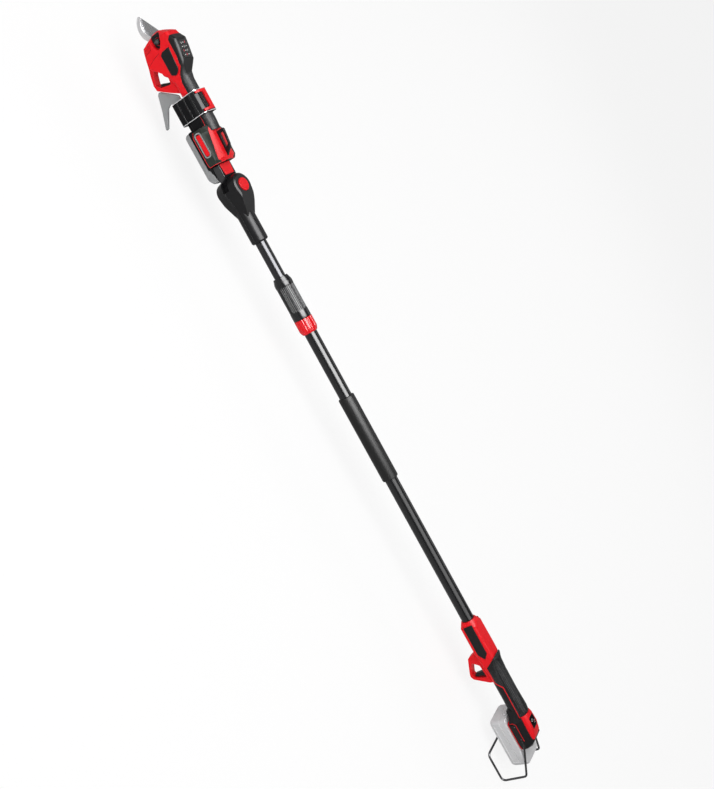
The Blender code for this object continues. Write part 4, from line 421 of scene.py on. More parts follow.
ALONG_POLE = (0.04, 1, 1)
ALONG_BLADE = (0.1, 1, 0.6)
BLACK = (0.008, 0.008, 0.009)
# The rim colours below are tones that the edge mask paints on the edges; on the black finishes this is
# a painted highlight.
BLACK_EDGE_HIGHLIGHT = (0.05, 0.05, 0.052)
FINISH = {
    "red_plastic": moulded("red_plastic", (0.76, 0.003, 0.009), 0.42, 700, 0.01, 0.05, shine=0.16,
                           rim=(0.85, 0.03, 0.04)),
    "black_plastic": moulded("black_plastic", BLACK, 0.34, 800, 0.015, 0.06, shine=0.24,
                             rim=BLACK_EDGE_HIGHLIGHT),
    "gloss_black": moulded("gloss_black", (0.006, 0.006, 0.007), 0.16, 700, 0.003, 0.03, shine=0.25,
                           rim=BLACK_EDGE_HIGHLIGHT),
    "grip_rubber": moulded("grip_rubber", (0.007, 0.007, 0.008), 0.42, 620, 0.3, 0.08, shine=0.26,
                           dots=2.6),
    "black_tube": moulded("black_tube", (0.005, 0.005, 0.006), 0.24, 900, 0.0004, 0.04, shine=0.55,
                          edge=0, stretch=ALONG_POLE),
    "foam": moulded("foam", (0.007, 0.007, 0.007), 0.42, 1500, 0.12, 0.1, shine=0.32, edge=0),
    "grey_plastic": moulded("grey_plastic", (0.27, 0.275, 0.28), 0.42, 700, 0.03, shine=0.3,
                            rim=(0.6, 0.6, 0.6)),
    "flank_plastic": moulded("flank_plastic", (0.028, 0.034, 0.029), 0.4, 700, 0.02, shine=0.06,
                             rim=(0.13, 0.15, 0.13)),
    # The pale rim is a painted glow on the pack's edges, as if the frosted case let light through where
    # it is thin.
    "pale_plastic": moulded("pale_plastic", (0.56, 0.56, 0.57), 0.3, 300, 0.01, 0.06, shine=0.3,
                            edge=1.8, rim=(0.86, 0.86, 0.87)),
    "steel": moulded("steel", (0.60, 0.61, 0.62), 0.30, 900, 0.006, 0.12, metallic=1.0,
                     stretch=ALONG_BLADE),
    "wire_steel": moulded("wire_steel", (0.09, 0.09, 0.095), 0.22, 260, 0.02, 0.6, metallic=0.8,
                          edge=0),
    # The hook's rim paints its edges darker than its face.
    "hook_metal": moulded("hook_metal", (0.31, 0.32, 0.325), 0.45, 500, 0.015, shine=0.4, metallic=0.2,
                          rim=(0.14, 0.14, 0.14)),
    "copper_alloy": moulded("copper_alloy", (0.6, 0.3, 0.15), 0.35, 500, 0.01, metallic=1.0),
    "cell_cans": moulded("cell_cans", (0.12, 0.25, 0.4), 0.35, 500, 0.01),
}
INNER_FINISH = moulded("inner_tube_black", (0.05, 0.05, 0.053), 0.24, 900, 0.0004, 0.05, metallic=0.85,
                       edge=0, stretch=ALONG_POLE)
NUT_FINISH = moulded("nut_black", BLACK, 0.24, 800, 0.01, 0.05, shine=0.5, rim=(0.04, 0.04, 0.042))
COLLAR_FINISH = moulded("collar_red", (0.72, 0.003, 0.009), 0.2, 700, 0.005, 0.05, shine=0.45)
# On the blades the light rim stands for the brighter ground steel of the honed edges, and is also a
# painted highlight on every other edge.
BLADE_FINISH = moulded("ground_steel", (0.38, 0.38, 0.39), 0.26, 900, 0.006, 0.2, metallic=0.95,
                       edge=1.1, stretch=ALONG_BLADE, rim=(0.9, 0.9, 0.92))
EDGE_FINISH = moulded("honed_steel", (0.72, 0.72, 0.73), 0.3, 900, 0.006, 0.15, metallic=0.6,
                      edge=1.1, stretch=ALONG_BLADE, rim=(0.95, 0.95, 0.96))
MATT_BLACK = moulded("matt_black", BLACK, 0.5, 800, 0.015, 0.06, shine=0.05, rim=BLACK_EDGE_HIGHLIGHT)
DARK_STEEL = moulded("dark_steel", (0.16, 0.16, 0.165), 0.35, 700, 0.01, 0.1, metallic=0.9)
BRIGHT_STEEL = moulded("bright_steel", (0.86, 0.86, 0.87), 0.2, 900, 0.004, 0.05, metallic=0.4,
                       edge=0)
# Dark red of the strips that stand for the head's slots and step line: painted shade.
SHADE_LINE_RED = moulded("painted_shade_line", (0.16, 0.002, 0.004), 0.5, 700, 0.01, shine=0.1, edge=0)
# Near black of the strip round the flank inlay: painted shade for the gap.
GAP_SHADE_BLACK = moulded("painted_gap_shade", (0.002, 0.002, 0.002), 0.6, 700, 0.01, shine=0.05, edge=0)
MARK_WHITE = moulded("mark_white", (0.5, 0.5, 0.49), 0.5, 700, 0.005, edge=0)
MARK_RED = moulded("mark_red", (0.65, 0.03, 0.06), 0.4, 700, 0.005, edge=0)
for name, obj in nodes.items():
    obj.data.materials.clear()
    obj.data.materials.append(FINISH[slot_of_node[name]])
print("finishes:", len(FINISH))

# %% [markdown]
# The pieces are drawn in the millimetres of the part's drawing, where X is nought at the front of the
# rear handle and the shears are measured from the hinge of the tilting joint. One function takes those
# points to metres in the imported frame.

# %% From the drawing to the frame
DRAWING_AT = np.array([-539.41, 0.0, 111.6])
HINGE = 1108.0


def placed(points):
    """Drawing millimetres to metres: add the drawing's place, then scale."""
    return (np.asarray(points, float) + DRAWING_AT) * MM


# %% [markdown]
# Every new surface is a grid of points, worked out as one array. Quads join each point with its
# neighbours, and the last column with the first. The last row joins the first too, or a flat face
# closes each of the two open ends.


# %% A surface from a grid
def surface(name, grid, rows_closed=False):
    """Mesh on a grid of points (row, column, 3): a quad takes a point, the next and the two below."""
    grid = np.asarray(grid, float)
    rows, columns = grid.shape[:2]
    index = np.arange(rows * columns).reshape(rows, columns)
    ends = [] if rows_closed else [index[0, ::-1].tolist(), index[-1].tolist()]
    if rows_closed:
        index = np.vstack([index, index[:1]])
    index = np.hstack([index, index[:, :1]])
    quads = np.stack([index[:-1, :-1], index[:-1, 1:], index[1:, 1:], index[1:, :-1]], axis=-1)
    mesh = bpy.data.meshes.new(name)
    mesh.from_pydata(placed(grid).reshape(-1, 3).tolist(), [], quads.reshape(-1, 4).tolist() + ends)
    return mesh


SMOOTH_BELOW = 38.0  # degrees between faces that are shaded as one surface
ROUNDED_ABOVE = 30.0  # degrees between faces whose edge is rounded
SAME_POINT = 1e-6  # metres


def finished(mesh, body, slot, replaced=(), finish=None, smooth=SMOOTH_BELOW, bevel=0.0):
    """Welds a mesh, turns its faces outward, shades it, gives it its finish, hangs it on its body and
    hides the nodes it replaces.
    """
    bm = bmesh.new()
    bm.from_mesh(mesh)
    bmesh.ops.remove_doubles(bm, verts=bm.verts, dist=SAME_POINT)
    bmesh.ops.recalc_face_normals(bm, faces=bm.faces)
    bm.to_mesh(mesh)
    bm.free()
    mesh.shade_smooth()
    mesh.set_sharp_from_angle(angle=math.radians(smooth))
    mesh.materials.append(finish or FINISH[slot])
    piece = bpy.data.objects.new(mesh.name, mesh)
    scene.collection.objects.link(piece)
    if bevel:
        rounding = piece.modifiers.new("rounding", "BEVEL")
        rounding.width = bevel * MM
        rounding.segments = 2
        rounding.angle_limit = math.radians(ROUNDED_ABOVE)
        rounding.use_clamp_overlap = True
        shading = piece.modifiers.new("shading", "WEIGHTED_NORMAL")
        shading.keep_sharp = True
    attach(piece, body)
    for node in replaced:
        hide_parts(node)
    return piece


# %% [markdown]
# A CAD solid comes as loose flat triangles. Its moulded look needs a welded copy: the same points made
# one, flats joined again, and its edges given a small radius by a Bevel modifier. The copy takes the
# node's place.


# %% Welded copies of CAD nodes
FLAT_BELOW = 0.6  # degrees between triangles that are one flat face


def welded(node):
    """A copy of a node's triangles with equal points joined and its flat faces made whole."""
    source = nodes[node].data
    at = np.empty(len(source.vertices) * 3)
    source.vertices.foreach_get("co", at)
    corners = np.empty(len(source.loops), int)
    source.loops.foreach_get("vertex_index", corners)
    mesh = bpy.data.meshes.new(node + "_moulded")
    mesh.from_pydata(at.reshape(-1, 3).tolist(), [], corners.reshape(-1, 3).tolist())
    bm = bmesh.new()
    bm.from_mesh(mesh)
    bmesh.ops.remove_doubles(bm, verts=bm.verts, dist=2 * SAME_POINT)
    bmesh.ops.dissolve_limit(bm, angle_limit=math.radians(FLAT_BELOW), verts=bm.verts, edges=bm.edges)
    bm.to_mesh(mesh)
    bm.free()
    return mesh


def remoulded(node, bevel, finish=None):
    """The welded copy in the node's place, its edges rounded by that many millimetres."""
    return finished(welded(node), body_of_node[node], slot_of_node[node], [node], finish, bevel=bevel)


BEVELS = {
    "handle_shell_left": 0.6, "handle_shell_right": 0.6, "grip_skin": 0.5, "under_grip": 0.5,
    "handle_panel_left": 0.5, "handle_panel_right": 0.5, "rear_display": 0.4, "battery_foot": 0.7,
    "foot_trim": 0.3, "bail_clamp_left": 0.5, "bail_clamp_right": 0.5, "rear_trigger": 0.8,
    "pack_lower_case": 0.8, "pack_upper_case": 0.8, "pack_button": 0.5, "yoke_lower": 0.9,
    "yoke_upper": 0.9, "adaptor_upper": 0.7, "adaptor_lower": 0.9, "adaptor_latch": 0.7,
    "shears_foot": 0.8, "foot_cover": 0.8, "foot_inlay_left": 0.4, "foot_inlay_right": 0.4,
    "hanging_loop": 0.6, "shears_shell_left": 0.7, "shears_shell_right": 0.7, "shears_cover": 0.6,
    "shears_panel_left": 0.5, "shears_panel_right": 0.5, "shears_display": 0.3, "cradle_saddle": 0.6,
    "pull_hook": 0.6, "clamp_band": 0.6, "clamp_latch": 0.6, "shears_trigger": 0.8,
    "safety_lever": 0.6, "cutting_blade": 0.12, "counter_blade": 0.25, "pivot_bolt": 0.4,
    "pivot_nut": 0.4, "hinge_bolt": 0.4,
}
OWN_FINISH = {
    "cutting_blade": BLADE_FINISH, "counter_blade": EDGE_FINISH, "pivot_nut": NUT_FINISH,
    "pivot_bolt": DARK_STEEL, "adaptor_upper": MATT_BLACK, "cradle_saddle": MATT_BLACK,
}
for name, width in BEVELS.items():
    remoulded(name, width, finish=OWN_FINISH.get(name))
print("moulded copies:", len(BEVELS))

# %% [markdown]
# The tubes, the collar, the nut and the foam are all turned about the pole's axis. A turned piece is a
# profile of positions and radii, swept through a whole turn. Flutes and ribs are an amount taken off
# the radius as a function of position and angle, so that one formula shapes the whole surface.


# %% Pieces turned about the pole
OUTER_FROM = 18.0  # a cut shapes only the radii above this, which are the outside of collar and nut


def turned(profile, columns, cut=None):
    """Grid (x, r cos a, r sin a) for each profile row and angle a, where cut(x, a) comes off r."""
    x, r = np.asarray(profile, float).T[:, :, None]
    a = np.linspace(0, 2 * np.pi, columns, endpoint=False)[None, :]
    x = x + 0 * a
    r = r - (cut(x, a) * (r > OUTER_FROM) if cut else 0) + 0 * a
    return np.stack([x, r * np.cos(a), r * np.sin(a)], axis=-1)


def quarter(x, r, radius, start, end, steps=6):
    """Points of an arc round (x, r), its angles in degrees from the X axis."""
    a = np.radians(np.linspace(start, end, steps))
    return np.stack([x + radius * np.cos(a), r + radius * np.sin(a)], axis=-1)


def sleeve(x0, x1, outside, bore, corner):
    """Closed profile of a sleeve whose outer corners are rounded."""
    return np.vstack([[(x0, bore)], quarter(x0 + corner, outside - corner, corner, 180, 90),
                      quarter(x1 - corner, outside - corner, corner, 90, 0), [(x1, bore)]])


def smooth_step(t):
    """Rises from nought to one without a kink: three t squared less two t cubed."""
    t = np.clip(t, 0, 1)
    return t * t * (3 - 2 * t)


TUBE_R, INNER_R, FOAM_R, COLLAR_R, NUT_R = 15.0, 13.0, 19.2, 21.3, 21.0
OUTER_BORE, INNER_BORE = 13.5, 11.8
PLAY = 0.3  # between the outer tube and what sits on it
END_R = 0.3  # radius of a tube's cut edge
ROUND = 128  # points round a tube


def tube_piece(name, x0, x1, outside, bore, corner):
    """A sleeve from x0 to x1 as one closed surface."""
    return surface(name, turned(sleeve(x0, x1, outside, bore, corner), ROUND), rows_closed=True)


outer = tube_piece("outer_tube_round", -108, 830, TUBE_R, OUTER_BORE, END_R)
finished(outer, "handle", "black_tube", ["outer_tube"])
inner = tube_piece("inner_tube_round", 30, 1026, INNER_R, INNER_BORE, END_R)
finished(inner, "mast", "black_tube", ["inner_tube"], INNER_FINISH)
foam = tube_piece("foam_grip_round", 379, 594, FOAM_R, TUBE_R + PLAY, 2.6)
foam_piece = finished(foam, "handle", "foam", ["foam_grip"], smooth=60)

# %% [markdown]
# The collar is moulded in red with twelve shallow flutes that give the hand a hold while the nut is
# turned against it. The nut ahead of it is gripped by thirty round ribs between two plain rings.


# %% Collar and nut
COLLAR_REAR, COLLAR_FRONT = 759, 793.7
FLUTE_STEP, FLUTE_HALF = 30, 5.2  # degrees from flute to flute, and from a flute's middle to its edge
FLUTE_DEEP, FLUTE_FROM = 1.05, 764
RIB_STEP, VALLEY_HALF = 12, 2.6  # degrees, as above
VALLEY_DEEP, WAIST_DEEP = 1.0, 0.6
RIBS_FROM, RIBS_TO = 812, 876
NUT_REAR, NUT_FRONT = 794, 897


def flutes(x, a):
    """Twelve flutes: a parabola of angle about each one's middle, faded in from the rear edge."""
    off = (np.degrees(a) + FLUTE_STEP / 2) % FLUTE_STEP - FLUTE_STEP / 2
    fade = smooth_step((x - FLUTE_FROM) / 3)
    return FLUTE_DEEP * np.clip(1 - (off / FLUTE_HALF) ** 2, 0, None) * fade


def ribs(x, a):
    """Thirty ribs: a smooth step of angle cuts a narrow valley between each two, on a waist."""
    off = np.abs((np.degrees(a) + RIB_STEP / 2) % RIB_STEP - RIB_STEP / 2)
    ease = smooth_step((x - RIBS_FROM - 1) / 2.5) * smooth_step((RIBS_TO - 1 - x) / 2.5)
    valleys = VALLEY_DEEP * smooth_step(1 - off / VALLEY_HALF) * ease
    waist = WAIST_DEEP * smooth_step((x - RIBS_FROM) / 2) * smooth_step((RIBS_TO - x) / 2)
    return valleys + waist


collar_profile = np.vstack([
    [(COLLAR_REAR, TUBE_R + PLAY), (COLLAR_REAR, 16.2)], quarter(760.5, 16.6, 1.5, 170, 100, 4),
    [(762, 18.9)], np.stack([np.linspace(764, 768, 6), np.linspace(19.8, 21.2, 6)], -1),
    [(770, COLLAR_R), (780, COLLAR_R)], quarter(792.9, COLLAR_R - 0.8, 0.8, 90, 0, 4),
    [(COLLAR_FRONT, TUBE_R + PLAY)]])
collar = surface("tube_collar_round", turned(collar_profile, 240, flutes), rows_closed=True)
finished(collar, "handle", "red_plastic", ["tube_collar"], COLLAR_FINISH, smooth=50)
nut_rows = np.concatenate([np.linspace(RIBS_FROM, RIBS_FROM + 4, 6), [830, 845, 860],
                           np.linspace(RIBS_TO - 4, RIBS_TO, 6)])
nut_profile = np.vstack([
    [(NUT_REAR, 16.4)], quarter(NUT_REAR + 1, NUT_R - 1, 1, 180, 90, 4),
    np.stack([nut_rows, np.full(len(nut_rows), NUT_R)], -1), quarter(884, NUT_R - 2, 2, 90, 60, 4),
    [(896, 17.2)], quarter(NUT_FRONT - 1, 16.2, 1, 60, 0, 3),
    [(NUT_FRONT, 13.4), (884.4, 13.4), (884.4, 14.8), (873.4, 16.4)]])
nut = surface("lock_nut_round", turned(nut_profile, 360, ribs), rows_closed=True)
finished(nut, "lock_nut", "black_plastic", ["lock_nut"], NUT_FINISH, smooth=50)

# %% [markdown]
# The release button is a shallow dished disc. Its profile is turned about the joint's own axis. The
# spring under it is a helix of wire, which on the tool flattens as the button goes in; here it keeps
# one shape. The stand is one length of round wire: straight runs between points, a bend at each, and a
# circle swept along them. A frame carried from point to point keeps the circle from twisting.


# %% Button, spring and wire stand
BEND_SHARE = 0.45  # a bend takes no more than this share of a run


def disc(centre, normal, profile, columns=48):
    """Grid turned about a line: profile rows are (radius, height) from the centre along the normal."""
    r, h = np.asarray(profile, float).T[:, :, None]
    normal = np.asarray(normal, float) / np.linalg.norm(normal)
    side = np.cross(normal, (0.0, 0.0, 1.0) if abs(normal[2]) < 0.9 else (1.0, 0.0, 0.0))
    side = side / np.linalg.norm(side)
    a = np.linspace(0, 2 * np.pi, columns, endpoint=False)[None, :]
    across = np.cos(a)[..., None] * side + np.sin(a)[..., None] * np.cross(normal, side)
    return np.asarray(centre, float) + r[..., None] * across + (h + 0 * a)[..., None] * normal


def bent(points, radius, steps=8):
    """The points, with a quadratic curve in place of each inner corner."""
    p = np.asarray(points, float)
    before, corner, after = p[:-2], p[1:-1], p[2:]
    back = (before - corner) / np.linalg.norm(before - corner, axis=1, keepdims=True)
    ahead = (after - corner) / np.linalg.norm(after - corner, axis=1, keepdims=True)
    half = np.arccos(np.clip((back * ahead).sum(1), -1, 1)) / 2
    room = np.minimum(np.linalg.norm(before - corner, axis=1), np.linalg.norm(after - corner, axis=1))
    reach = np.minimum(radius / np.tan(half), BEND_SHARE * room)[:, None, None]
    t = np.linspace(0, 1, steps)[None, :, None]
    start, stop = corner[:, None] + back[:, None] * reach, corner[:, None] + ahead[:, None] * reach
    arcs = (1 - t) ** 2 * start + 2 * t * (1 - t) * corner[:, None] + t ** 2 * stop
    return np.vstack([p[:1], arcs.reshape(-1, 3), p[-1:]])


def swept(path, radius, columns=20):
    """Circles round a path; each one's first radius is the last one's, made square to the path."""
    path = np.asarray(path, float)
    tangent = np.gradient(path, axis=0)
    tangent /= np.linalg.norm(tangent, axis=1, keepdims=True)
    normal = np.zeros_like(path)
    carried = np.cross(tangent[0], (0.3, 1.0, 0.2))
    for i, along in enumerate(tangent):
        carried = carried - along * (carried @ along)
        carried = carried / np.linalg.norm(carried)
        normal[i] = carried
    a = np.linspace(0, 2 * np.pi, columns, endpoint=False)[None, :, None]
    ring = np.cos(a) * normal[:, None] + np.sin(a) * np.cross(tangent, normal)[:, None]
    return path[:, None] + radius * ring


button_profile = np.vstack([[(0.0, 26.3), (14.6, 26.3)], quarter(13.3, 36.0, 1.3, 0, 90),
                            [(11.6, 37.3), (10.6, 36.9), (0.0, 36.7)]])
button = surface("tilt_button_round", disc((HINGE, 0, 0), (0, 0, 1), button_profile, 96))
finished(button, "tilt_button", "red_plastic", ["tilt_button"])
COIL_TURNS, COIL_R, COIL_WIRE_R = 2.5, 9.5, 0.8
COIL_LOW, COIL_HIGH = 17.1, 25.2
a = np.linspace(0, 2 * np.pi * COIL_TURNS, 72)
rise = COIL_LOW + (COIL_HIGH - COIL_LOW) * a / a[-1]
coil = np.stack([HINGE + COIL_R * np.cos(a), COIL_R * np.sin(a), rise], axis=-1)
coil_mesh = surface("button_spring_round", swept(coil, COIL_WIRE_R, 10))
spring = finished(coil_mesh, "mast", "steel", ["button_spring"], smooth=60)
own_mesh(spring)
BAIL_WIRE_R, BAIL_BEND_R = 2.6, 11
half_bail = [(-292, 31.4, -10.8), (-346, 31.4, -10.8), (-423, 48, -37), (-430, 48, -109),
             (-352, 48, -109)]
bail_path = bent(half_bail + [(x, -y, z) for x, y, z in half_bail[::-1]], BAIL_BEND_R)
bail = surface("stand_bail_round", swept(bail_path, BAIL_WIRE_R))
finished(bail, "handle", "wire_steel", ["stand_bail"], smooth=60)

# %% [markdown]
# Lines, rims and seams are thin strips: a rectangle swept along a path that lies on a surface. The
# strip stands a few tenths of a millimetre proud, as a moulded bead or a pressed-on trim does.


# %% Strips along a surface
def strip(name, path, normal, width, proud, body, slot, finish=None, closed=False, deep=0.6):
    """A rectangle swept along a path: its width lies along tangent x normal, its height on normal."""
    path = np.asarray(path, float)
    normal = np.broadcast_to(np.asarray(normal, float), path.shape)
    if closed:
        tangent = np.roll(path, -1, 0) - np.roll(path, 1, 0)
    else:
        tangent = np.gradient(path, axis=0)
    tangent = tangent / np.linalg.norm(tangent, axis=1, keepdims=True)
    across = np.cross(tangent, normal)
    across = across / np.linalg.norm(across, axis=1, keepdims=True) * width / 2
    up, down = normal * proud, -normal * deep
    grid = path[:, None] + np.stack([down - across, up - across, up + across, down + across], axis=1)
    return finished(surface(name, grid, rows_closed=closed), body, slot, finish=finish, smooth=50)


def rounded_path(points, radius, steps=6):
    """A closed outline of two columns with every corner rounded by the same bend as the wire's."""
    p = np.asarray(points, float)
    around = np.vstack([p[-1:], p, p[:1]])
    flat = np.column_stack([around, np.zeros(len(around))])
    return bent(flat, radius, steps)[1:-1, :2]


def box_outline(x0, x1, z0, z1, radius, steps=6):
    """The rounded outline of a rectangle, from its lower left corner round by the right."""
    return rounded_path([(x0, z0), (x1, z0), (x1, z1), (x0, z1)], radius, steps)


def on_side(outline, y):
    """Outline points (x, z) in the side view, set at a given distance from the middle plane."""
    outline = np.asarray(outline, float)
    return np.stack([outline[:, 0], np.full(len(outline), float(y)), outline[:, 1]], axis=-1)


# %% [markdown]
# Bright rims edge the clamp band and the collar of its saddle at both ends. The ring's outline is a
# rounded rectangle, and the band takes the part above its hinge line. Beside the hinge both rims stop
# short, so that they pass each other when the band swings open. Raised ribs cross the ring's sides.

# %% Rims of the band
RING_W, RING_LOW, RING_HIGH, RING_SPLIT = 23.9, -21.0, 55.0, 33.0
RING_MIDDLE = (0.0, (RING_LOW + RING_HIGH) / 2)
RIM_WIDE, RIM_PROUD = 1.1, 0.35
ring = box_outline(-RING_W, RING_W, RING_LOW, RING_HIGH, 15, 10)


def ring_part(side, latch_gap, hinge_gap):
    """The ring's points above (side 1) or below (-1) the split, with an end at each gap."""
    part = ring[side * (ring[:, 1] - RING_SPLIT) > 0]
    part = part[np.argsort(side * np.arctan2(part[:, 1] - RING_SPLIT, part[:, 0]))]
    latch_end, hinge_end = RING_SPLIT + side * latch_gap, RING_SPLIT + side * hinge_gap
    return np.vstack([[(RING_W, latch_end)], part, [(-RING_W, hinge_end)]])


def ring_rim(name, outline, x, body):
    """A strip round the ring at x; its normal is the outline's run turned a quarter, outward."""
    run = np.gradient(outline, axis=0)
    out = np.stack([-run[:, 1], run[:, 0]], axis=-1)
    out = out / np.linalg.norm(out, axis=1, keepdims=True)
    out = out * np.sign((out * (outline - RING_MIDDLE)).sum(1))[:, None]
    path = np.column_stack([np.full(len(outline), HINGE + x), outline])
    normal = np.column_stack([np.zeros(len(outline)), out])
    return strip(name, path, normal, RIM_WIDE, RIM_PROUD, body, "steel", BRIGHT_STEEL)


for tag, x in (("rear", 163.6), ("front", 212.4)):
    ring_rim("band_rim_" + tag, ring_part(1, 0.4, 3.5), x, "clamp_band")
    ring_rim("saddle_rim_" + tag, ring_part(-1, 0.4, 2.5), x, "cradle")
for sign, tag in SIDES:
    for number, (z, body) in enumerate(((0, "cradle"), (20, "cradle"), (39, "clamp_band"))):
        if tag == "right" and body == "clamp_band":
            continue  # the band's hinge is there
        path = [(HINGE + 165.4, sign * RING_W, z), (HINGE + 210.6, sign * RING_W, z)]
        strip(f"band_rib_{tag}_{number}", path, (0, sign, 0), 3.4, 0.9, body, "black_plastic",
              NUT_FINISH)

# %% [markdown]
# The head's pivot sits in a black plate let into each half of the housing. It is a flat ring: its outer
# edge follows the drop-shaped recess, and its hole clears the nut on the left and the bolt's head on
# the right. Three small screws hold it, and two such screws hold each clamp block of the wire stand.


# %% Plates round the pivot
PIVOT_AT = np.array([HINGE + 336.0, 25.0])
PLATE_BACK, PLATE_TOP = 10.3, 13.2  # distances from the middle plane
HOLE_R = {"left": 8.3, "right": 8.4}
DROP = np.array([(319, 22), (322, 30.3), (331.5, 37.2), (341, 40.2), (351, 38.6), (351, 15.6),
                 (343, 13.8), (328.5, 15.8)]) + (HINGE, 0)


def ray_to_outline(outline, centre, angles):
    """Distance from the centre to a polygon along each angle: the least positive crossing."""
    a, b = outline - centre, np.roll(outline, -1, 0) - centre
    ray = np.stack([np.cos(angles), np.sin(angles)], -1)[:, None]
    side = b - a
    cross = ray[..., 0] * side[:, 1] - ray[..., 1] * side[:, 0]
    cross = np.where(np.abs(cross) < 1e-9, 1e-9, cross)
    t = (a[:, 0] * side[:, 1] - a[:, 1] * side[:, 0]) / cross
    s = (a[:, 0] * ray[..., 1] - a[:, 1] * ray[..., 0]) / cross
    return np.where((t > 0) & (s >= -1e-6) & (s <= 1 + 1e-6), t, 1e9).min(1)


def pivot_plate(sign, tag):
    """A chamfered ring: rows (share of the reach, added radius, y) go over its rim into the hole."""
    outline = rounded_path(DROP, 2.5)
    angles = np.linspace(0, 2 * np.pi, 96, endpoint=False)
    reach = ray_to_outline(outline, PIVOT_AT, angles)
    hole = HOLE_R[tag]
    rows = [(1.0, 0.0, PLATE_BACK), (1.0, 0.0, 12.6), (1.0, -0.6, PLATE_TOP),
            (0.0, hole + 0.5, PLATE_TOP), (0.0, hole, 12.8), (0.0, hole, PLATE_BACK)]
    share, add, y = np.array(rows).T[:, :, None]
    radius = share * reach[None, :] + add
    grid = np.stack([PIVOT_AT[0] + radius * np.cos(angles), sign * y + 0 * radius,
                     PIVOT_AT[1] + radius * np.sin(angles)], axis=-1)
    return finished(surface("pivot_plate_" + tag, grid, rows_closed=True), "cradle", "black_plastic")


def screw(name, at, normal, radius, body):
    """A pan head with a round socket: turned rows from its seat over the dome into the socket."""
    rows = [(radius, -0.5), (radius, 0.15), (radius * 0.86, 0.5), (radius * 0.5, 0.62),
            (radius * 0.42, 0.62), (radius * 0.36, -0.3), (0.0, -0.3)]
    return finished(surface(name, disc(at, normal, rows, 24)), body, "steel", finish=DARK_STEEL)


for sign, tag in SIDES:
    pivot_plate(sign, tag)
    outward = (0, sign, 0)
    for number, (x, z) in enumerate(((325.5, 26.5), (340.5, 36.6), (337.0, 15.9))):
        screw(f"plate_screw_{tag}_{number}", (HINGE + x, sign * PLATE_TOP, z), outward, 1.3, "cradle")
    for number, x in enumerate((-329.0, -293.0)):
        screw(f"clamp_screw_{tag}_{number}", (x, sign * 35.2, -8.0), outward, 1.5, "handle")

# %% [markdown]
# The halves of the head are moulded with slanted cooling slots low at the front and a step line where
# the two thicknesses of the wall meet. Neither is cut: each is a thin dark-red strip standing a little
# proud of the red, painted shade for the shadow in the slot and under the step.

# %% Painted shade of the slots and step lines
SLOT_ENDS = np.array([(339.5, 8.5), (327.0, 4.0)])  # (x, z) of the top slot's ends
SLOT_STEP = np.array((-0.8, -4.0))  # from each slot to the next
HEAD_X, HEAD_HALF_W = (318, 331, 340, 344.5), (21.5, 20.5, 19.0, 16.0)  # the head narrows to the front
for sign, tag in SIDES:
    for number in range(5):
        run = SLOT_ENDS + number * SLOT_STEP
        half = np.interp(run[:, 0], HEAD_X, HEAD_HALF_W)
        path = np.stack([HINGE + run[:, 0], sign * half, run[:, 1]], -1)
        # Each slot is a dark strip on the red: painted shade.
        strip(f"cooling_slot_shade_{tag}_{number}", path, (0, sign, 0), 0.9, 0.25, "cradle", "red_plastic",
              SHADE_LINE_RED)
    # The step line is a dark strip too: painted shade.
    line = on_side(np.array([(303, -20), (309, 0), (313, 20)]) + (HINGE, 0), sign * 21.9)
    strip("step_line_shade_" + tag, line, (0, sign, 0), 0.6, 0.2, "cradle", "red_plastic", SHADE_LINE_RED)

# %% [markdown]
# A red bead runs round the foot's lower rim, where it meets the adaptor, and up its rear edges. Round
# the inlay in its flank, inside a grey border, a near-black strip stands a little proud: painted shade
# for the gap round the inlay. The rear foot's side recess is outlined in red, and a raised line frames
# the flat field on each side of the battery pack.


# %% Beads and outlines
FLANK_HALF_W, FLANK_FROM, FLANK_LEAN, FLANK_RISE = 40.0, 4.3, 1.5, 23.7
REAR_HALF_W = 34
UP_LEAN, UP_FROM = 0.69, -5.5  # slope of the rear foot's wall above this height
CORNER_LEAN, CORNER_FROM = 0.571, -286  # and ahead of this place


def on_flank(outline, sign):
    """A side-view outline laid on the foot's flank: it leans in by so much over a rise of so much."""
    flank = FLANK_HALF_W - (outline[:, 1] - FLANK_FROM) * FLANK_LEAN / FLANK_RISE
    return np.stack([outline[:, 0], sign * flank, outline[:, 1]], -1)


def rear_wall(path):
    """Half the width of the rear foot at each point, the lesser of two slopes' distances."""
    return np.minimum(REAR_HALF_W - UP_LEAN * np.clip(path[:, 2] - UP_FROM, 0, None),
                      REAR_HALF_W - CORNER_LEAN * np.clip(path[:, 0] - CORNER_FROM, 0, None))


plan = np.array([(61.2, -37.6), (68, -39.8), (129, -39.8), (140.8, -32), (140.8, 32), (129, 39.8),
                 (68, 39.8), (61.2, 37.6)]) + (HINGE, 0)
plan = rounded_path(plan, 2.0, 4)
run = np.roll(plan, -1, 0) - np.roll(plan, 1, 0)
out = np.stack([run[:, 1], -run[:, 0]], -1) / np.linalg.norm(run, axis=1, keepdims=True)
strip("foot_bead", np.column_stack([plan, np.full(len(plan), 5.4)]),
      np.column_stack([out, 0 * plan[:, 0]]), 1.1, 0.35, "cradle", "red_plastic", closed=True)
rear_edge = bent([(60.9, 37.0, 5.2), (60.9, 35.6, 22.4), (60.9, 20.6, 28.2), (60.9, 9.6, 31.2)], 3.0, 4)
for sign, tag in SIDES:
    path = rear_edge * (1, sign, 1) + (HINGE, 0, 0)
    strip("foot_rear_bead_" + tag, path, (-1, 0, 0), 1.6, 0.7, "cradle", "red_plastic", deep=0.3)
inlay = box_outline(HINGE + 83, HINGE + 131, 13, 24, 4.8)
inlay_edge = box_outline(HINGE + 80.6, HINGE + 133.4, 10.8, 25.8, 6)
pack_field = box_outline(-391.4, -281.6, -61.4, -44.6, 5)
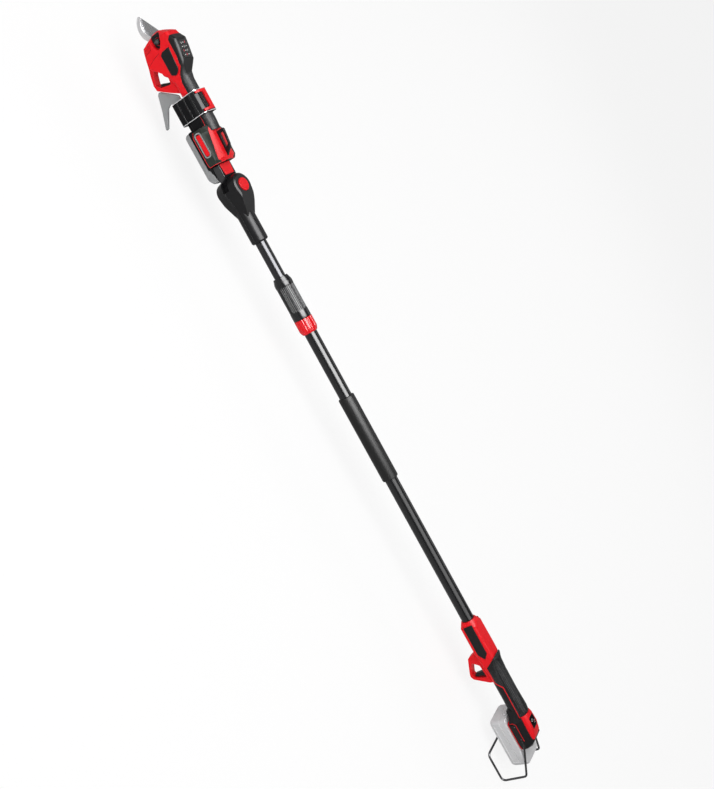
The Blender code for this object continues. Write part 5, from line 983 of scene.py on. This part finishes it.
for sign, tag in SIDES:
    outward = (0, sign, 0)
    # The gap round the inlay is a near-black strip: painted shade.
    strip("inlay_gap_shade_" + tag, on_flank(inlay, sign), outward, 0.9, 0.12, "cradle", "black_plastic",
          GAP_SHADE_BLACK, closed=True)
    strip("inlay_border_" + tag, on_flank(inlay_edge, sign), outward, 2.6, 0.2, "cradle",
          "grey_plastic", closed=True)
    strip("pack_field_" + tag, on_side(pack_field, sign * 36.5), outward, 1.3, 0.25, "battery_pack",
          "pale_plastic", closed=True)
    recess = bent([(-284.4, 0, -18.2), (-284.4, 0, -8), (-289, 0, -3.7), (-336, 0, -3.7)], 2.0, 4)
    recess[:, 1] = sign * rear_wall(recess)
    strip("recess_line_" + tag, recess, outward, 1.3, 0.3, "handle", "red_plastic")

# %% [markdown]
# Behind the foot the adaptor's case is covered in black, and a thin grey strip along its shoulder is
# a painted highlight on the shoulder's top edge.

# %% Black shoulder of the adaptor and its painted highlight
for sign, tag in SIDES:
    run = np.array([(28.5, 6.05), (41, 3.6), (54, 1.1), (58.0, -2.7)]) + (HINGE, 0)
    strip("adaptor_skin_" + tag, on_side(run, sign * 27.2), (0, 0, 1), 14.4, 0.45, "cradle",
          "black_plastic", MATT_BLACK)
    # A thin grey strip on the shoulder's top edge: a painted highlight.
    shoulder_highlight = on_side(np.array([(32.0, 15.9), (58.8, 15.9)]) + (HINGE, 0), sign * 21.4)
    strip("adaptor_edge_highlight_" + tag, shoulder_highlight, (0, sign * 0.6, 0.8), 0.5, 0.25, "cradle", "grey_plastic")

# %% [markdown]
# Both control panels carry small raised marks: four rows of three short bars on the head's, and three
# bars beside a ring on the rear one. Each bar is a thin block that lies along the panel or across it.


# %% Marks on the control panels
MARK_PROUD, MARK_SUNK = 0.12, 0.1
HEAD_PANEL_AT, HEAD_PANEL_Z = HINGE + 277, 67.07
HEAD_SLOPE = np.array([37.0, 0.0, 6.83])  # the head's panel from its rear edge to its front one
HEAD_NORMAL = np.array([-6.83, 0.0, 37.0])
REAR_NORMAL = (-1, 0, 28)  # the rear panel rises by 1 over 28


def mark(name, at, along, up, size, body, finish):
    """A flat block at a point: its length along one direction, its height along another."""
    along = np.asarray(along, float) / np.linalg.norm(along)
    up = np.asarray(up, float) / np.linalg.norm(up)
    half = along * size[0] / 2
    return strip(name, [np.asarray(at) - half, np.asarray(at) + half], up, size[1], MARK_PROUD, body,
                 "black_plastic", finish, deep=MARK_SUNK)


for row in range(4):
    for column in range(3):
        share = 0.16 + 0.22 * row
        at = np.array([HEAD_PANEL_AT, -6.0 + 6.0 * column, HEAD_PANEL_Z]) + HEAD_SLOPE * share
        along = HEAD_SLOPE if (row + column) % 2 else (0, 1, 0)
        finish = MARK_RED if (row * 3 + column) % 4 == 1 else MARK_WHITE
        mark(f"head_mark_{row}_{column}", at, along, HEAD_NORMAL, (4.2, 1.5), "cradle", finish)
for number, x in enumerate((-313.0, -310.0, -307.0)):
    at = (x, -5.5, 23.7 + (x + 316) / 28)
    finish = MARK_RED if number == 1 else MARK_WHITE
    mark(f"rear_mark_{number}", at, (0, 1, 0), REAR_NORMAL, (5.0, 1.2), "handle", finish)
circle = [(3.6, -0.1), (3.6, 0.15), (2.7, 0.15), (2.7, -0.1)]
ring_grid = disc((-302, 3.0, 24.2), REAR_NORMAL, circle, 40)
ring_mark = surface("rear_ring_mark", ring_grid, rows_closed=True)
finished(ring_mark, "handle", "black_plastic", finish=MARK_WHITE)
